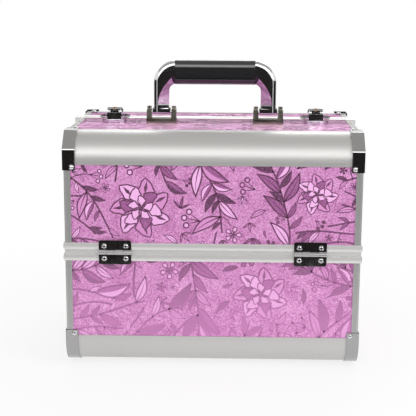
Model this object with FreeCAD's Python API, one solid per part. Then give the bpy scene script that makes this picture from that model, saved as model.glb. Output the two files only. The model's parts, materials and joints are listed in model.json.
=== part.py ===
import FreeCAD
import Part
import math
import os

# Makeup train case with two half-lids that open like wings.
# Lengths in millimetres. X runs along the width, the front faces -Y, +Z is up.
# The origin lies on the ground under the middle of the case.

# overall sizes
case_width = 320.0
case_depth = 230.0
body_height = 258.0
split_height = 129.0
foot_height = 4.0

# walls
skin = 1.0            # thickness of the metal lips that lie over the panel edges
panel = 4.0           # board thickness
lining = 2.0          # padded lining thickness
board_gap = 0.15      # gap at the end of a board
lining_gap = 0.2      # gap around a lining sheet

# rounded edge extrusion
edge_reach = 34.0
edge_lip = 4.0
edge_wall = 1.4
edge_web = 1.0
edge_tongue = 1.0

# flat rim extrusion along the split and the seam
rim_height = 9.9
rim_proud = 1.5
seam_proud = 4.5
rim_crown = 0.5
rim_step_height = 2.6
rim_step_depth = 0.9
rim_slot = 5.0
mitre_gap = 0.15

# corner angles
angle_reach = 7.3
angle_round = 1.6
groove_count = 3
groove_width = 0.7
groove_depth = 0.35

# corner caps
cap_wall = 1.1
cap_width = 12.6
cap_tab = 6.0
cap_bead_width = 0.9
cap_bead_height = 0.5
cap_cheek = 13.0
cap_fold_round = 2.5   # inside the two folds of an upper cap

# rivets and screws
rivet_head_radius = 2.8
rivet_head_height = 1.4
rivet_shank_radius = 1.5
rivet_inset = 8.8     # from the side of the case
rivet_beyond = 2.4    # past the end of the edge extrusion
screw_head_radius = 3.0
screw_head_height = 1.7
screw_shank_radius = 1.5
screw_cross_width = 0.9
screw_cross_length = 3.6
screw_cross_depth = 0.9

# hinges
hinge_centre = 105.4
hinge_length = 35.3
hinge_leaf_height = 13.3
hinge_leaf_wall = 1.2
hinge_leaf_round = 2.0
knuckle_radius = 2.3
knuckle_count = 4
knuckle_gap = 0.3
knuckle_clearance = 0.35
hinge_pin_radius = 1.1
hinge_pin_clearance = 0.05
hinge_pin_overhang = 0.6
hinge_screw_spacing = 23.4
hinge_screw_offset = 6.8

# feet
foot_radius = 8.0
foot_inset_x = 34.0
foot_inset_y = 52.0
foot_recess_radius = 4.2
foot_recess_depth = 2.2
foot_taper = 1.0

# trays and their swinging arms
lid_opening = 100.0   # degrees
arm_ratio = 0.76      # arm turn for one degree of lid turn
arm_lean = 35.0       # degrees from upright, inward, with the lids shut
arm_width = 9.0
strip_wall = 1.2
stud_seam_inset = 5.5  # inner stud of the upper tray in front of the tray's back
arm_spacing = 20.0
pivot_below_rim = 4.6
pivot_radius = 1.5
pivot_clearance = 0.05
pivot_head_radius = 3.0
pivot_head_wall = 0.9
collar_radius = 3.5
tray_height = 34.0
tray_wall = 2.0
tray_round = 3.0
tray_lift = 22.0      # lower tray above the split
tray_gap = 1.8        # between two trays with the lids wide open
tray_front_gap = 7.0
tray_seam_gap = 3.0
tray_pivot_height = 11.0
divider_wall = 1.5
divider_drop = 4.0
divider_gap = 0.2
upper_divider_count = 3
lower_divider_count = 2
stay_layer_gap = 0.5
head_layer_gap = 0.3
arm_layer_gap = 0.15
tray_layer_gap = 0.4
stay_inset = 8.3      # lid pivot of the stay behind the lining face
stay_above_rim = 8.0
stay_tray_inset = 42.3
stay_below_edge = 4.3
stay_free_play = 0.4  # radial play where the stay meets the tray

# handle
handle_width = 139.0
handle_leg = 17.3
handle_wall = 14.0
handle_top = 71.0     # above the top of the case
handle_bar = 26.7
handle_outer_round = 26.0
handle_inner_round = 8.0
handle_edge_round = 5.5
handle_pivot_height = 12.5
handle_pin_radius = 2.0
handle_pin_clearance = 0.06
facet_turn = 35.0      # degrees, from the front towards the inside of the bow
facet_radius = 60.0
facet_depth = 7.2      # behind the square corner of a leg
facet_height = 20.0    # deepest place above the top of the case
foot_block_side = 1.4  # how far the foot block of a leg is wider than the leg
foot_block_top = 16.3
foot_block_bottom = 9.3
foot_block_wall = 12.0
foot_block_round = 2.7
grip_length = 91.0
grip_wall = 17.0
grip_round = 8.0
grip_proud = 0.5
grip_core_height = 13.0
grip_core_wall = 9.0
grip_clearance = 0.1
bracket_width = 34.6
bracket_wall = 11.8
bracket_base_top = 5.0
bracket_ear = 6.6      # at its foot
bracket_ear_taper = 0.7  # at each side of its top
bracket_lean = 5.0     # degrees that the front face leans back
bracket_ear_top = 15.5
bracket_seam_gap = 1.3  # behind the bracket, to the seam rim
bracket_neck_radius = 1.9
bracket_neck_height = 1.0
bracket_head_radius = 2.5
bracket_head_height = 2.4

# latches on the top seam
latch_centre = 116.0
latch_plate_half = 17.5
latch_reach = 16.5
latch_plate_wall = 1.4
latch_pad_height = 2.4
latch_seam_gap = 0.5
latch_web_half = 10.0
latch_web_wall = 1.1
latch_rim_gap = 0.2
latch_face_wall = 2.2
latch_face_lean = 5.0  # degrees
latch_face_top = 10.2
lug_wall = 1.6
lug_gap = 0.35
lug_radius = 2.4
lever_half = 8.25
lever_wall = 1.6
lever_top = 15.0
lever_pin_inset = 4.8  # pin behind the front face of the housing
lever_pin_height = 10.8
lever_pin_radius = 1.2
lever_pin_clearance = 0.05
lever_eye_radius = 3.6
lever_nose = 1.6       # cover in front of the pin
lever_chamfer = 1.2
lever_seam_gap = 1.0
lever_back_bottom = 9.0
bolt_half = 2.5
bolt_height = 2.0
bolt_reach = 0.6
bolt_clearance = 0.3
keeper_seam_gap = 0.8
keeper_wall = 8.2
keeper_top = 13.0
keeper_round = 1.4
keeper_slot_depth = 3.0
plug_inset = 3.4       # plug centre in front of the back of the lever
plug_radius = 2.2
plug_clearance = 0.06
plug_flange = 0.6
plug_flange_wall = 0.6
plug_depth = 2.6
key_slot_width = 0.9
key_slot_length = 3.2
key_slot_depth = 1.6

# margins of the modelling itself
overcut = 1.0          # how far a cutter runs past a face
near_enough = 0.01     # for telling edges apart

# derived places
half_width = case_width / 2
half_depth = case_depth / 2
ground_line = foot_height
split = foot_height + split_height
top = foot_height + body_height
bend = edge_reach - edge_lip
wall = skin + panel
inside = skin + panel + lining
half_root = math.sqrt(0.5)
slot_end = rim_height - rim_slot + board_gap
board_half = half_width - wall - board_gap

os.makedirs("parts", exist_ok=True)
vector = FreeCAD.Vector
lateral = vector(1, 0, 0)
deep = vector(0, 1, 0)
upward = vector(0, 0, 1)


def outline(points, place):
    """A flat face from corner points; four numbers give an arc: a point on it, then its end."""
    edges = []
    last = points[0]
    for point in points[1:] + points[:1]:
        end = point[-2:]
        if len(point) == 4:
            edges.append(Part.Arc(place(*last), place(*point[:2]), place(*end)).toShape())
        elif math.hypot(end[0] - last[0], end[1] - last[1]) > 1e-7:
            edges.append(Part.makeLine(place(*last), place(*end)))
        last = end
    return Part.Face(Part.Wire(edges))


def along_x(points, low, high):
    """A bar along X from a section in Y and Z."""
    return outline(points, lambda y, z: vector(low, y, z)).extrude(vector(high - low, 0, 0))


def along_y(points, low, high):
    """A bar along Y from a section in X and Z."""
    return outline(points, lambda x, z: vector(x, low, z)).extrude(vector(0, high - low, 0))


def along_z(points, low, high):
    """A bar along Z from a section in X and Y."""
    return outline(points, lambda x, y: vector(x, y, low)).extrude(vector(0, 0, high - low))


def block(x0, x1, y0, y1, z0, z1):
    """A box between six planes."""
    return Part.makeBox(x1 - x0, y1 - y0, z1 - z0, vector(x0, y0, z0))


def other_side(shape):
    """The same piece on the left."""
    return shape.mirror(vector(), lateral)


def rear(shape):
    """The same piece at the back."""
    return shape.mirror(vector(), deep)


def both_sides(shape):
    return [shape, other_side(shape)]


def placed(points, place):
    """Section points, arcs included, turned by a rule into the two coordinates of a bar's section."""
    return [place(*p) if len(p) == 2 else place(*p[:2]) + place(*p[2:]) for p in points]


def four_ways(shape):
    return both_sides(shape) + both_sides(rear(shape))


def joined(first, *others):
    return first.fuse(list(others)).removeSplitter()


def front_y(inward):
    """Y of a place that lies so far behind the front of the case."""
    return -half_depth + inward


def save(name, shapes):
    if len(shapes) == 1:
        shapes[0].exportStep("parts/" + name + ".step")
    else:
        Part.makeCompound(shapes).exportStep("parts/" + name + ".step")


def turned(points):
    """A round piece about Z from a half outline of radius and height."""
    face = outline(points, lambda r, z: vector(r, 0, z))
    return face.revolve(vector(), upward, 360)


def pointed(shape, place, direction):
    """A piece built along Z, laid along a direction at a place."""
    copy = shape.copy()
    copy.Placement = FreeCAD.Placement(place, FreeCAD.Rotation(upward, direction))
    return copy


def domed(head_radius, head_height, shank_radius, shank):
    """A domed fastener: its head stands above z = 0 and its shank goes below."""
    rise = (head_radius ** 2 + head_height ** 2) / (2 * head_height)
    lean = math.asin(head_radius / rise) / 2
    middle = (rise * math.sin(lean), head_height - rise + rise * math.cos(lean))
    points = [(0, -shank), (shank_radius, -shank), (shank_radius, 0), (head_radius, 0)]
    return turned(points + [middle + (0, head_height)])


def rivet(shank):
    return domed(rivet_head_radius, rivet_head_height, rivet_shank_radius, shank)


def screw(shank):
    """A domed screw with a cross recess."""
    body = domed(screw_head_radius, screw_head_height, screw_shank_radius, shank)
    floor = screw_head_height - screw_cross_depth
    long = screw_cross_length / 2
    thin = screw_cross_width / 2
    first = block(-long, long, -thin, thin, floor, screw_head_height + overcut)
    second = block(-thin, thin, -long, long, floor, screw_head_height + overcut)
    return body.cut([first, second])


# sections shared by the frame

def edge_section():
    """The rounded edge extrusion in two distances from the outer planes, with a slot for each board."""
    hollow = bend - edge_wall
    dip = bend - math.sqrt(hollow ** 2 - edge_web ** 2)
    web = bend - edge_web
    lip = wall + edge_tongue
    outer = bend * (1 - half_root)
    inner = bend - hollow * half_root
    return [
        (0, edge_reach), (0, bend), (outer, outer, bend, 0), (edge_reach, 0),
        (edge_reach, skin), (bend, skin), (bend, wall), (edge_reach, wall),
        (edge_reach, lip), (web, lip), (web, dip), (inner, inner, dip, web),
        (lip, web), (lip, edge_reach), (wall, edge_reach), (wall, bend),
        (skin, bend), (skin, edge_reach)]


def rim_section(proud):
    """The rim extrusion: depth behind the outer plane, and distance from the mating plane."""
    shoulder = -proud + rim_crown
    middle = (rim_height + rim_step_height) / 2
    step = -proud + rim_step_depth + rim_crown
    slot = rim_height - rim_slot
    return [
        (step, 0), (inside, 0), (inside, rim_height), (wall, rim_height),
        (wall, slot), (skin, slot), (skin, rim_height), (shoulder, rim_height),
        (-proud, middle, shoulder, rim_step_height), (step, rim_step_height)]


def angle_section():
    """A grooved L-angle: distances behind the two outer planes that it covers."""
    nose = angle_round * (1 - half_root)
    pitch = (angle_reach - angle_round) / (groove_count + 1)
    marks = [angle_round + pitch * (n + 1) for n in range(groove_count)]
    half = groove_width / 2
    first = []
    second = []
    for mark in marks:
        first += [(mark - half, 0), (mark - half, groove_depth)]
        first += [(mark + half, groove_depth), (mark + half, 0)]
    for mark in reversed(marks):
        second += [(0, mark + half), (groove_depth, mark + half)]
        second += [(groove_depth, mark - half), (0, mark - half)]
    corner = [(angle_reach, 0), (angle_reach, skin), (skin, skin), (skin, angle_reach)]
    return [(angle_round, 0)] + first + corner + [(0, angle_reach)] + second + [
        (0, angle_round), (nose, nose, angle_round, 0)]


def rounded_corner(inset):
    """The arc of the rounded edge, so far inside its outer face, as two distances from the planes."""
    radius = bend - inset
    return bend - radius * half_root, inset


# a corner cap at the right front, first as distances from the front and from the top or bottom

def round_path(offset):
    """The line of the outer faces, moved outward by an offset, from the front tab to the other."""
    radius = bend + offset
    middle = bend - radius * half_root
    end = edge_reach + cap_tab
    return [(-offset, end), (-offset, bend), (middle, middle, bend, -offset), (end, -offset)]


def folded_path(offset):
    """The same in three flats that touch the rounded edge, with two rounded folds between them."""
    turn = math.pi / 8
    radius = cap_fold_round + max(offset, 0)
    start = radius * math.tan(turn)
    fold = bend - (bend + offset) * math.tan(turn)
    near = -offset + start * half_root
    far = fold - start * half_root
    deep_in = -offset + radius * (1 - math.cos(turn))
    along = fold + start - radius * math.sin(turn)
    end = edge_reach + cap_tab
    return [
        (-offset, end), (-offset, fold + start), (deep_in, along, near, far), (far, near),
        (along, deep_in, fold + start, -offset), (end, -offset)]


def back_along(path):
    """The same line walked from its other end."""
    walked = [path[-1][-2:]]
    for here, before in zip(path[::-1], path[-2::-1]):
        walked.append(here[:-2] + before[-2:])
    return walked


def cap(place, cap_path):
    """Band and cheek of a cap; place turns the two distances into Y and Z."""
    def bar(points, low, high):
        return along_x(placed(points, place), low, high)
    outer = half_width + cap_wall
    inner = half_width - cap_width
    ground = back_along(cap_path(0))
    cheek_inside = back_along(cap_path(-cap_cheek))
    band = bar(cap_path(cap_wall) + ground, inner, outer)
    bead = bar(cap_path(cap_wall + cap_bead_height) + ground, inner, inner + cap_bead_width)
    cheek = bar(cap_path(cap_wall) + cheek_inside, half_width, outer)
    return joined(band, bead, cheek)


def lid_place(inward, down):
    return front_y(inward), top - down


def base_place(inward, up):
    return front_y(inward), ground_line + up


# fastener places at the right front
rivet_x = half_width - rivet_inset
rivet_down = edge_reach + rivet_beyond
rivet_body = rivet(cap_wall + wall)
face_rivet_lid = vector(rivet_x, front_y(-cap_wall), top - rivet_down)
face_rivet_base = vector(rivet_x, front_y(-cap_wall), ground_line + rivet_down)
top_rivet = vector(rivet_x, front_y(rivet_down), top + cap_wall)
bottom_rivet = vector(rivet_x, front_y(rivet_down), ground_line - cap_wall)


def hole(place, direction, radius, length):
    """A round cutter that starts at a place and goes against a fastener's direction."""
    return Part.makeCylinder(radius, length, place, direction * -1)


def rivet_hole(place, direction):
    return hole(place, direction, rivet_shank_radius, cap_wall + wall)


forward = deep * -1
downward = upward * -1
face_hole_lid = rivet_hole(face_rivet_lid, forward)
face_hole_base = rivet_hole(face_rivet_base, forward)
top_hole = rivet_hole(top_rivet, upward)
bottom_hole = rivet_hole(bottom_rivet, downward)

# hinge line, a little in front of the rim so that a lid only lifts and swings out
hinge_y = front_y(-rim_proud - knuckle_radius)
leaf_front = front_y(-rim_proud - hinge_leaf_wall)
leaf_back = front_y(-rim_proud)
knuckle_length = hinge_length / knuckle_count
hinge_screw_length = hinge_leaf_wall + rim_proud + skin
hinge_screw_body = screw(hinge_screw_length)


def hinge_screw_places(height):
    return [vector(hinge_centre + side * hinge_screw_spacing / 2, leaf_front, height) for side in (-1, 1)]


def hinge_leaf(sense):
    """One leaf with its knuckles at the right front: sense +1 rises from the split, -1 hangs below it."""
    left = hinge_centre - hinge_length / 2
    right = hinge_centre + hinge_length / 2
    near = split + sense * (knuckle_radius + knuckle_clearance)
    far = split + sense * hinge_leaf_height
    low, high = min(near, far), max(near, far)
    plate = block(left, right, leaf_front, leaf_back, low, high)
    short = [e for e in plate.Edges if e.BoundBox.YLength > hinge_leaf_wall - near_enough]
    tips = [e for e in short if abs(e.CenterOfMass.z - far) < near_enough]
    plate = plate.makeFillet(hinge_leaf_round, tips)
    pieces = []
    first = 0 if sense < 0 else 1
    bore = hinge_pin_radius + (0 if sense < 0 else hinge_pin_clearance)
    for n in range(first, knuckle_count, 2):
        start = left + n * knuckle_length + knuckle_gap / 2
        end = left + (n + 1) * knuckle_length - knuckle_gap / 2
        pieces.append(Part.makeCylinder(knuckle_radius, end - start, vector(start, hinge_y, split), lateral))
        low, high = min(near, split), max(near, split)
        pieces.append(block(start, end, leaf_front, leaf_back, low, high))
    leaf = joined(plate, *pieces)
    cutters = [Part.makeCylinder(bore, case_width, vector(0, hinge_y, split), lateral)]
    for place in hinge_screw_places(split + sense * hinge_screw_offset):
        cutters.append(hole(place, forward, screw_shank_radius, hinge_leaf_wall))
    return leaf.cut(cutters)


def hinge_screw_holes(sense):
    places = hinge_screw_places(split + sense * hinge_screw_offset)
    return [hole(p, forward, screw_shank_radius, hinge_screw_length) for p in places]


hinge_pin_length = hinge_length + 2 * hinge_pin_overhang
hinge_pin = Part.makeCylinder(
    hinge_pin_radius, hinge_pin_length, vector(hinge_centre - hinge_pin_length / 2, hinge_y, split), lateral)

# tray linkage, worked out for the right end of the front half
lean = math.radians(arm_lean)
open_lean = math.radians(arm_ratio * lid_opening - arm_lean)
pivot_z = split - rim_height - pivot_below_rim
lower_tray_z = split + tray_lift
lower_reach = (lower_tray_z + tray_pivot_height - pivot_z) / math.cos(lean)
upper_reach = lower_reach + (tray_height + tray_gap) / math.cos(open_lean)
upper_tray_z = pivot_z + upper_reach * math.cos(lean) - tray_pivot_height
tray_front = front_y(inside + tray_front_gap)
tray_back = -tray_seam_gap
outer_pivot_y = tray_back - stud_seam_inset - arm_spacing - upper_reach * math.sin(lean)
inner_face = half_width - inside
stay_outer = inner_face - stay_layer_gap
stay_inner = stay_outer - strip_wall
head_outer = stay_inner - head_layer_gap
head_inner = head_outer - pivot_head_wall
arm_outer = head_inner - arm_layer_gap
arm_inner = arm_outer - strip_wall
tray_end = arm_inner - tray_layer_gap
stay_lid_y = front_y(inside + stay_inset)
stay_lid_z = split + rim_height + stay_above_rim
stay_tray_y = tray_front + stay_tray_inset
stay_tray_z = upper_tray_z + tray_height - stay_below_edge


def arm_point(reach, offset):
    """Y and Z of a pivot along an arm with the lids shut."""
    return outer_pivot_y + offset + reach * math.sin(lean), pivot_z + reach * math.cos(lean)


def rod(radius, low, high, y, z):
    """A round bar along X."""
    return Part.makeCylinder(radius, high - low, vector(low, y, z), lateral)


def strip(ends, width, low, high, holes):
    """A flat bar with round ends between two pivots, drilled at each listed pivot."""
    (y0, z0), (y1, z1) = ends
    length = math.hypot(y1 - y0, z1 - z0)
    across = (-(z1 - z0) / length * width / 2, (y1 - y0) / length * width / 2)
    corners = [
        (y0 + across[0], z0 + across[1]), (y1 + across[0], z1 + across[1]),
        (y1 - across[0], z1 - across[1]), (y0 - across[0], z0 - across[1])]
    bar = along_x(corners, low, high)
    bar = joined(bar, rod(width / 2, low, high, y0, z0), rod(width / 2, low, high, y1, z1))
    return bar.cut([rod(radius, low - overcut, high + overcut, y, z) for y, z, radius in holes])


def arm(offset):
    bore = pivot_radius + pivot_clearance
    ends = [arm_point(0, offset), arm_point(upper_reach, offset)]
    holes = [arm_point(reach, offset) + (bore,) for reach in (0, lower_reach, upper_reach)]
    return strip(ends, arm_width, arm_inner, arm_outer, holes)


def arm_stud(offset):
    """A shouldered stud that carries an arm on the side of the base."""
    y, z = arm_point(0, offset)
    collar = rod(collar_radius, arm_outer + arm_layer_gap, inner_face, y, z)
    pin = rod(pivot_radius, arm_inner - arm_layer_gap, inner_face + lining, y, z)
    head_end = arm_inner - arm_layer_gap
    head = rod(pivot_head_radius, head_end - pivot_head_wall, head_end, y, z)
    return joined(collar, pin, head)


def tray_stud(y, z):
    """Pivot that stands out of a tray end, through the arm, with a flat head."""
    pin = rod(pivot_radius, tray_end - tray_wall / 2, head_inner, y, z)
    return joined(pin, rod(pivot_head_radius, head_inner, head_outer, y, z))


def upright_edges(shape):
    return [e for e in shape.Edges if e.BoundBox.ZLength > tray_height - near_enough - tray_wall]


def tray(bottom, reach, has_stay):
    """An open tub with the pivot studs on both ends."""
    tub = block(-tray_end, tray_end, tray_front, tray_back, bottom, bottom + tray_height)
    tub = tub.makeFillet(tray_round, upright_edges(tub))
    hollow = block(
        -tray_end + tray_wall, tray_end - tray_wall, tray_front + tray_wall, tray_back - tray_wall,
        bottom + tray_wall, bottom + tray_height + overcut)
    tub = tub.cut(hollow.makeFillet(tray_round, upright_edges(hollow)))
    studs = [tray_stud(*arm_point(reach, offset)) for offset in (0, arm_spacing)]
    if has_stay:
        shoulder = rod(collar_radius, tray_end, stay_inner - head_layer_gap, stay_tray_y, stay_tray_z)
        post = rod(pivot_radius, tray_end - tray_wall / 2, stay_outer, stay_tray_y, stay_tray_z)
        studs += [shoulder, post]
    return joined(tub, *[piece for stud in studs for piece in both_sides(stud)])


def dividers(bottom, count):
    """Cross dividers that stand on the floor of a tray."""
    clear = 2 * (tray_end - tray_wall)
    y0 = tray_front + tray_wall + divider_gap
    y1 = tray_back - tray_wall - divider_gap
    z0 = bottom + tray_wall
    z1 = bottom + tray_height - divider_drop
    places = [-clear / 2 + clear * (n + 1) / (count + 1) for n in range(count)]
    return [block(x - divider_wall / 2, x + divider_wall / 2, y0, y1, z0, z1) for x in places]


def stay():
    ends = [(stay_lid_y, stay_lid_z), (stay_tray_y, stay_tray_z)]
    holes = [ends[0] + (pivot_radius + pivot_clearance,), ends[1] + (pivot_radius + stay_free_play,)]
    return strip(ends, arm_width, stay_inner, stay_outer, holes)


def stay_stud():
    pin = rod(pivot_radius, stay_inner - arm_layer_gap, inner_face + lining, stay_lid_y, stay_lid_z)
    low = stay_inner - arm_layer_gap - pivot_head_wall
    return joined(pin, rod(pivot_head_radius, low, stay_inner - arm_layer_gap, stay_lid_y, stay_lid_z))


stay_stud_hole = rod(
    pivot_radius, inner_face - overcut, inner_face + lining + overcut, stay_lid_y, stay_lid_z)
arm_stud_holes = [
    rod(pivot_radius, inner_face - overcut, inner_face + lining, *arm_point(0, offset))
    for offset in (0, arm_spacing)]

# base: boards
wall_low = ground_line + bend + board_gap
wall_high = split - slot_end
face_cuts = both_sides(face_hole_base)
base_front_panel = block(-board_half, board_half, front_y(skin), front_y(wall), wall_low, wall_high)
base_front_panel = base_front_panel.cut(face_cuts)
corner_mid, corner_low = rounded_corner(skin)
side_outline = [
    (front_y(skin), wall_high), (front_y(skin), ground_line + bend),
    (front_y(corner_mid), ground_line + corner_mid, front_y(bend), ground_line + corner_low),
    (-front_y(bend), ground_line + corner_low),
    (-front_y(corner_mid), ground_line + corner_mid, -front_y(skin), ground_line + bend),
    (-front_y(skin), wall_high)]
base_side_panel = along_x(side_outline, half_width - wall, half_width - skin)
floor_front = front_y(bend + board_gap)
foot_x = half_width - foot_inset_x
foot_y = half_depth - foot_inset_y
floor_low = ground_line + skin
floor_panel = block(-board_half, board_half, floor_front, -floor_front, floor_low, ground_line + wall)
foot_hole = Part.makeCylinder(screw_shank_radius, case_width, vector(foot_x, -foot_y, 0), upward)
floor_panel = floor_panel.cut(four_ways(foot_hole) + four_ways(bottom_hole))
save("base_front_panel", [base_front_panel])
save("base_back_panel", [rear(base_front_panel)])
save("base_side_panels", both_sides(base_side_panel))
save("base_floor_panel", [floor_panel])

# base: lining sheets inside the boards
sheet_half = half_width - wall - lining_gap
sheet_low = ground_line + edge_reach + lining_gap
sheet_high = split - rim_height - lining_gap
front_sheet = block(-sheet_half, sheet_half, front_y(wall), front_y(inside), sheet_low, sheet_high)
floor_sheet = block(
    -sheet_half, sheet_half, front_y(edge_reach + lining_gap), -front_y(edge_reach + lining_gap),
    ground_line + wall, ground_line + inside)
sheet_edge = inside + lining_gap
corner_mid, corner_low = rounded_corner(sheet_edge)
side_sheet_outline = [
    (front_y(sheet_edge), sheet_high), (front_y(sheet_edge), ground_line + bend),
    (front_y(corner_mid), ground_line + corner_mid, front_y(bend), ground_line + corner_low),
    (-front_y(bend), ground_line + corner_low),
    (-front_y(corner_mid), ground_line + corner_mid, -front_y(sheet_edge), ground_line + bend),
    (-front_y(sheet_edge), sheet_high)]
side_sheet = along_x(side_sheet_outline, inner_face, half_width - wall)
side_sheet = side_sheet.cut(arm_stud_holes + [rear(h) for h in arm_stud_holes])
save("base_lining", [front_sheet, rear(front_sheet), floor_sheet] + both_sides(side_sheet))

# base: rim bars with mitred corners
spread = max(rim_proud, seam_proud) + overcut
depth_in = inside + overcut


def front_wedge(low, high):
    """The part of the plan that belongs to the bar along the front."""
    outer = half_width - mitre_gap
    return along_z([
        (-outer - spread, front_y(-spread)), (outer + spread, front_y(-spread)),
        (outer - depth_in, front_y(depth_in)), (-outer + depth_in, front_y(depth_in))], low, high)


def side_wedge(low, high, end):
    """The part of the plan that belongs to the bar along the right side, up to a Y."""
    return along_z([
        (half_width + spread, front_y(-spread)), (half_width + spread, end),
        (half_width - depth_in, end), (half_width - depth_in, front_y(depth_in))], low, high)


low = split - rim_height - overcut
points = placed(rim_section(rim_proud), lambda d, t: (front_y(d), split - t))
base_front_rim = along_x(points, -half_width - spread, half_width + spread)
base_front_rim = base_front_rim.common(front_wedge(low, split + overcut))
base_front_rim = base_front_rim.cut([h for hole_ in hinge_screw_holes(-1) for h in both_sides(hole_)])
points = placed(rim_section(rim_proud), lambda d, t: (half_width - d, split - t))
base_side_rim = along_y(points, front_y(-spread), -front_y(-spread))
half_wedge = side_wedge(low, split + overcut, 0)
base_side_wedge = joined(half_wedge, rear(half_wedge))
base_side_rim = base_side_rim.common(base_side_wedge)
save("base_rim", [base_front_rim, rear(base_front_rim)] + both_sides(base_side_rim))

# base: rounded edges, corner angles, caps
base_edge = along_x(placed(edge_section(), base_place), -board_half, board_half)
save("base_edges", [base_edge, rear(base_edge)])


def upright_angle(low, high):
    return along_z(placed(angle_section(), lambda a, b: (half_width - a, front_y(b))), low, high)


def level_angle(height, sense, low, high):
    """An angle along Y at the right; sense +1 covers the edge of a top, -1 of a bottom."""
    return along_y(placed(angle_section(), lambda a, b: (half_width - a, height - sense * b)), low, high)


base_post = upright_angle(ground_line + edge_reach, split - rim_height)
base_level = level_angle(ground_line, -1, front_y(edge_reach), -front_y(edge_reach))
save("base_corner_angles", four_ways(base_post) + both_sides(base_level))
base_cap = cap(base_place, round_path).cut([face_hole_base, bottom_hole])
save("base_corner_caps", four_ways(base_cap))

# base: hinges, feet, arm studs, fasteners
base_leaf = hinge_leaf(-1)
save("base_hinge_leaves", four_ways(base_leaf))
save("hinge_pins", four_ways(hinge_pin))
foot = Part.makeCone(foot_radius - foot_taper, foot_radius, floor_low, vector(foot_x, -foot_y, 0), upward)
recess = Part.makeCylinder(foot_recess_radius, foot_recess_depth, vector(foot_x, -foot_y, 0), upward)
foot = foot.cut([recess, foot_hole])
save("feet", four_ways(foot))
foot_screw = screw(floor_low - foot_recess_depth + panel)
foot_screw = pointed(foot_screw, vector(foot_x, -foot_y, foot_recess_depth), downward)
screws = [pointed(hinge_screw_body, p, forward) for p in hinge_screw_places(split - hinge_screw_offset)]
rivets = [pointed(rivet_body, face_rivet_base, forward), pointed(rivet_body, bottom_rivet, downward)]
save("base_screws_and_rivets", [s for piece in screws + rivets + [foot_screw] for s in four_ways(piece)])
save("arm_pivot_studs", [s for offset in (0, arm_spacing) for s in four_ways(arm_stud(offset))])

# a half-lid, modelled at the front and mirrored for the back
lid_wall_low = split + slot_end
lid_wall_high = top - bend - board_gap
lid_front_panel = block(-board_half, board_half, front_y(skin), front_y(wall), lid_wall_low, lid_wall_high)
lid_front_panel = lid_front_panel.cut(both_sides(face_hole_lid))
seam_slot = -slot_end
lid_top_panel = block(-board_half, board_half, front_y(bend + board_gap), seam_slot, top - wall, top - skin)
lid_top_panel = lid_top_panel.cut(both_sides(top_hole))
corner_mid, corner_low = rounded_corner(skin)
under_bar = top - inside - board_gap
lid_side_outline = [
    (front_y(skin), lid_wall_low), (front_y(skin), top - bend),
    (front_y(corner_mid), top - corner_mid, front_y(bend), top - corner_low),
    (-rim_height - board_gap, top - skin), (-rim_height - board_gap, under_bar),
    (seam_slot, under_bar), (seam_slot, lid_wall_low)]
lid_side_panel = along_x(lid_side_outline, half_width - wall, half_width - skin)

lid_sheet_low = split + rim_height + lining_gap
lid_sheet_seam = -rim_height - lining_gap
lid_front_sheet = block(
    -sheet_half, sheet_half, front_y(wall), front_y(inside), lid_sheet_low, top - edge_reach - lining_gap)
lid_top_sheet = block(
    -sheet_half, sheet_half, front_y(edge_reach + lining_gap), lid_sheet_seam, top - inside, top - wall)
corner_mid, corner_low = rounded_corner(sheet_edge)
lid_side_sheet_outline = [
    (front_y(sheet_edge), lid_sheet_low), (front_y(sheet_edge), top - bend),
    (front_y(corner_mid), top - corner_mid, front_y(bend), top - corner_low),
    (lid_sheet_seam, top - corner_low), (lid_sheet_seam, lid_sheet_low)]
lid_side_sheet = along_x(lid_side_sheet_outline, inner_face, half_width - wall).cut(stay_stud_hole)

points = placed(rim_section(rim_proud), lambda d, t: (front_y(d), split + t))
lid_front_rim = along_x(points, -half_width - spread, half_width + spread)
high = split + rim_height + overcut
lid_front_rim = lid_front_rim.common(front_wedge(split - overcut, high))
lid_front_rim = lid_front_rim.cut([h for hole_ in hinge_screw_holes(1) for h in both_sides(hole_)])
reach = rim_height + overcut
seam_corner = [(-mitre_gap, split), (-mitre_gap - reach, split + reach)]
points = placed(rim_section(rim_proud), lambda d, t: (half_width - d, split + t))
lid_side_rim = along_y(points, front_y(-spread), 0)
lid_side_rim = lid_side_rim.common(side_wedge(split - overcut, high, 0))
lower_part = seam_corner + [(front_y(-spread), split + reach), (front_y(-spread), split)]
lid_side_rim = lid_side_rim.common(along_x(lower_part, half_width - depth_in, half_width + spread))
points = placed(rim_section(rim_proud), lambda d, t: (half_width - d, -t))
lid_seam_rim = along_z(points, split, under_bar)
upper_part = [(0, split), (-reach, split + reach), (-reach, top), (0, top)]
lid_seam_rim = lid_seam_rim.common(along_x(upper_part, half_width - depth_in, half_width + spread))
points = placed(rim_section(seam_proud), lambda d, t: (-t, top - d))
lid_top_rim = along_x(points, -half_width - rim_proud, half_width + rim_proud)

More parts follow.
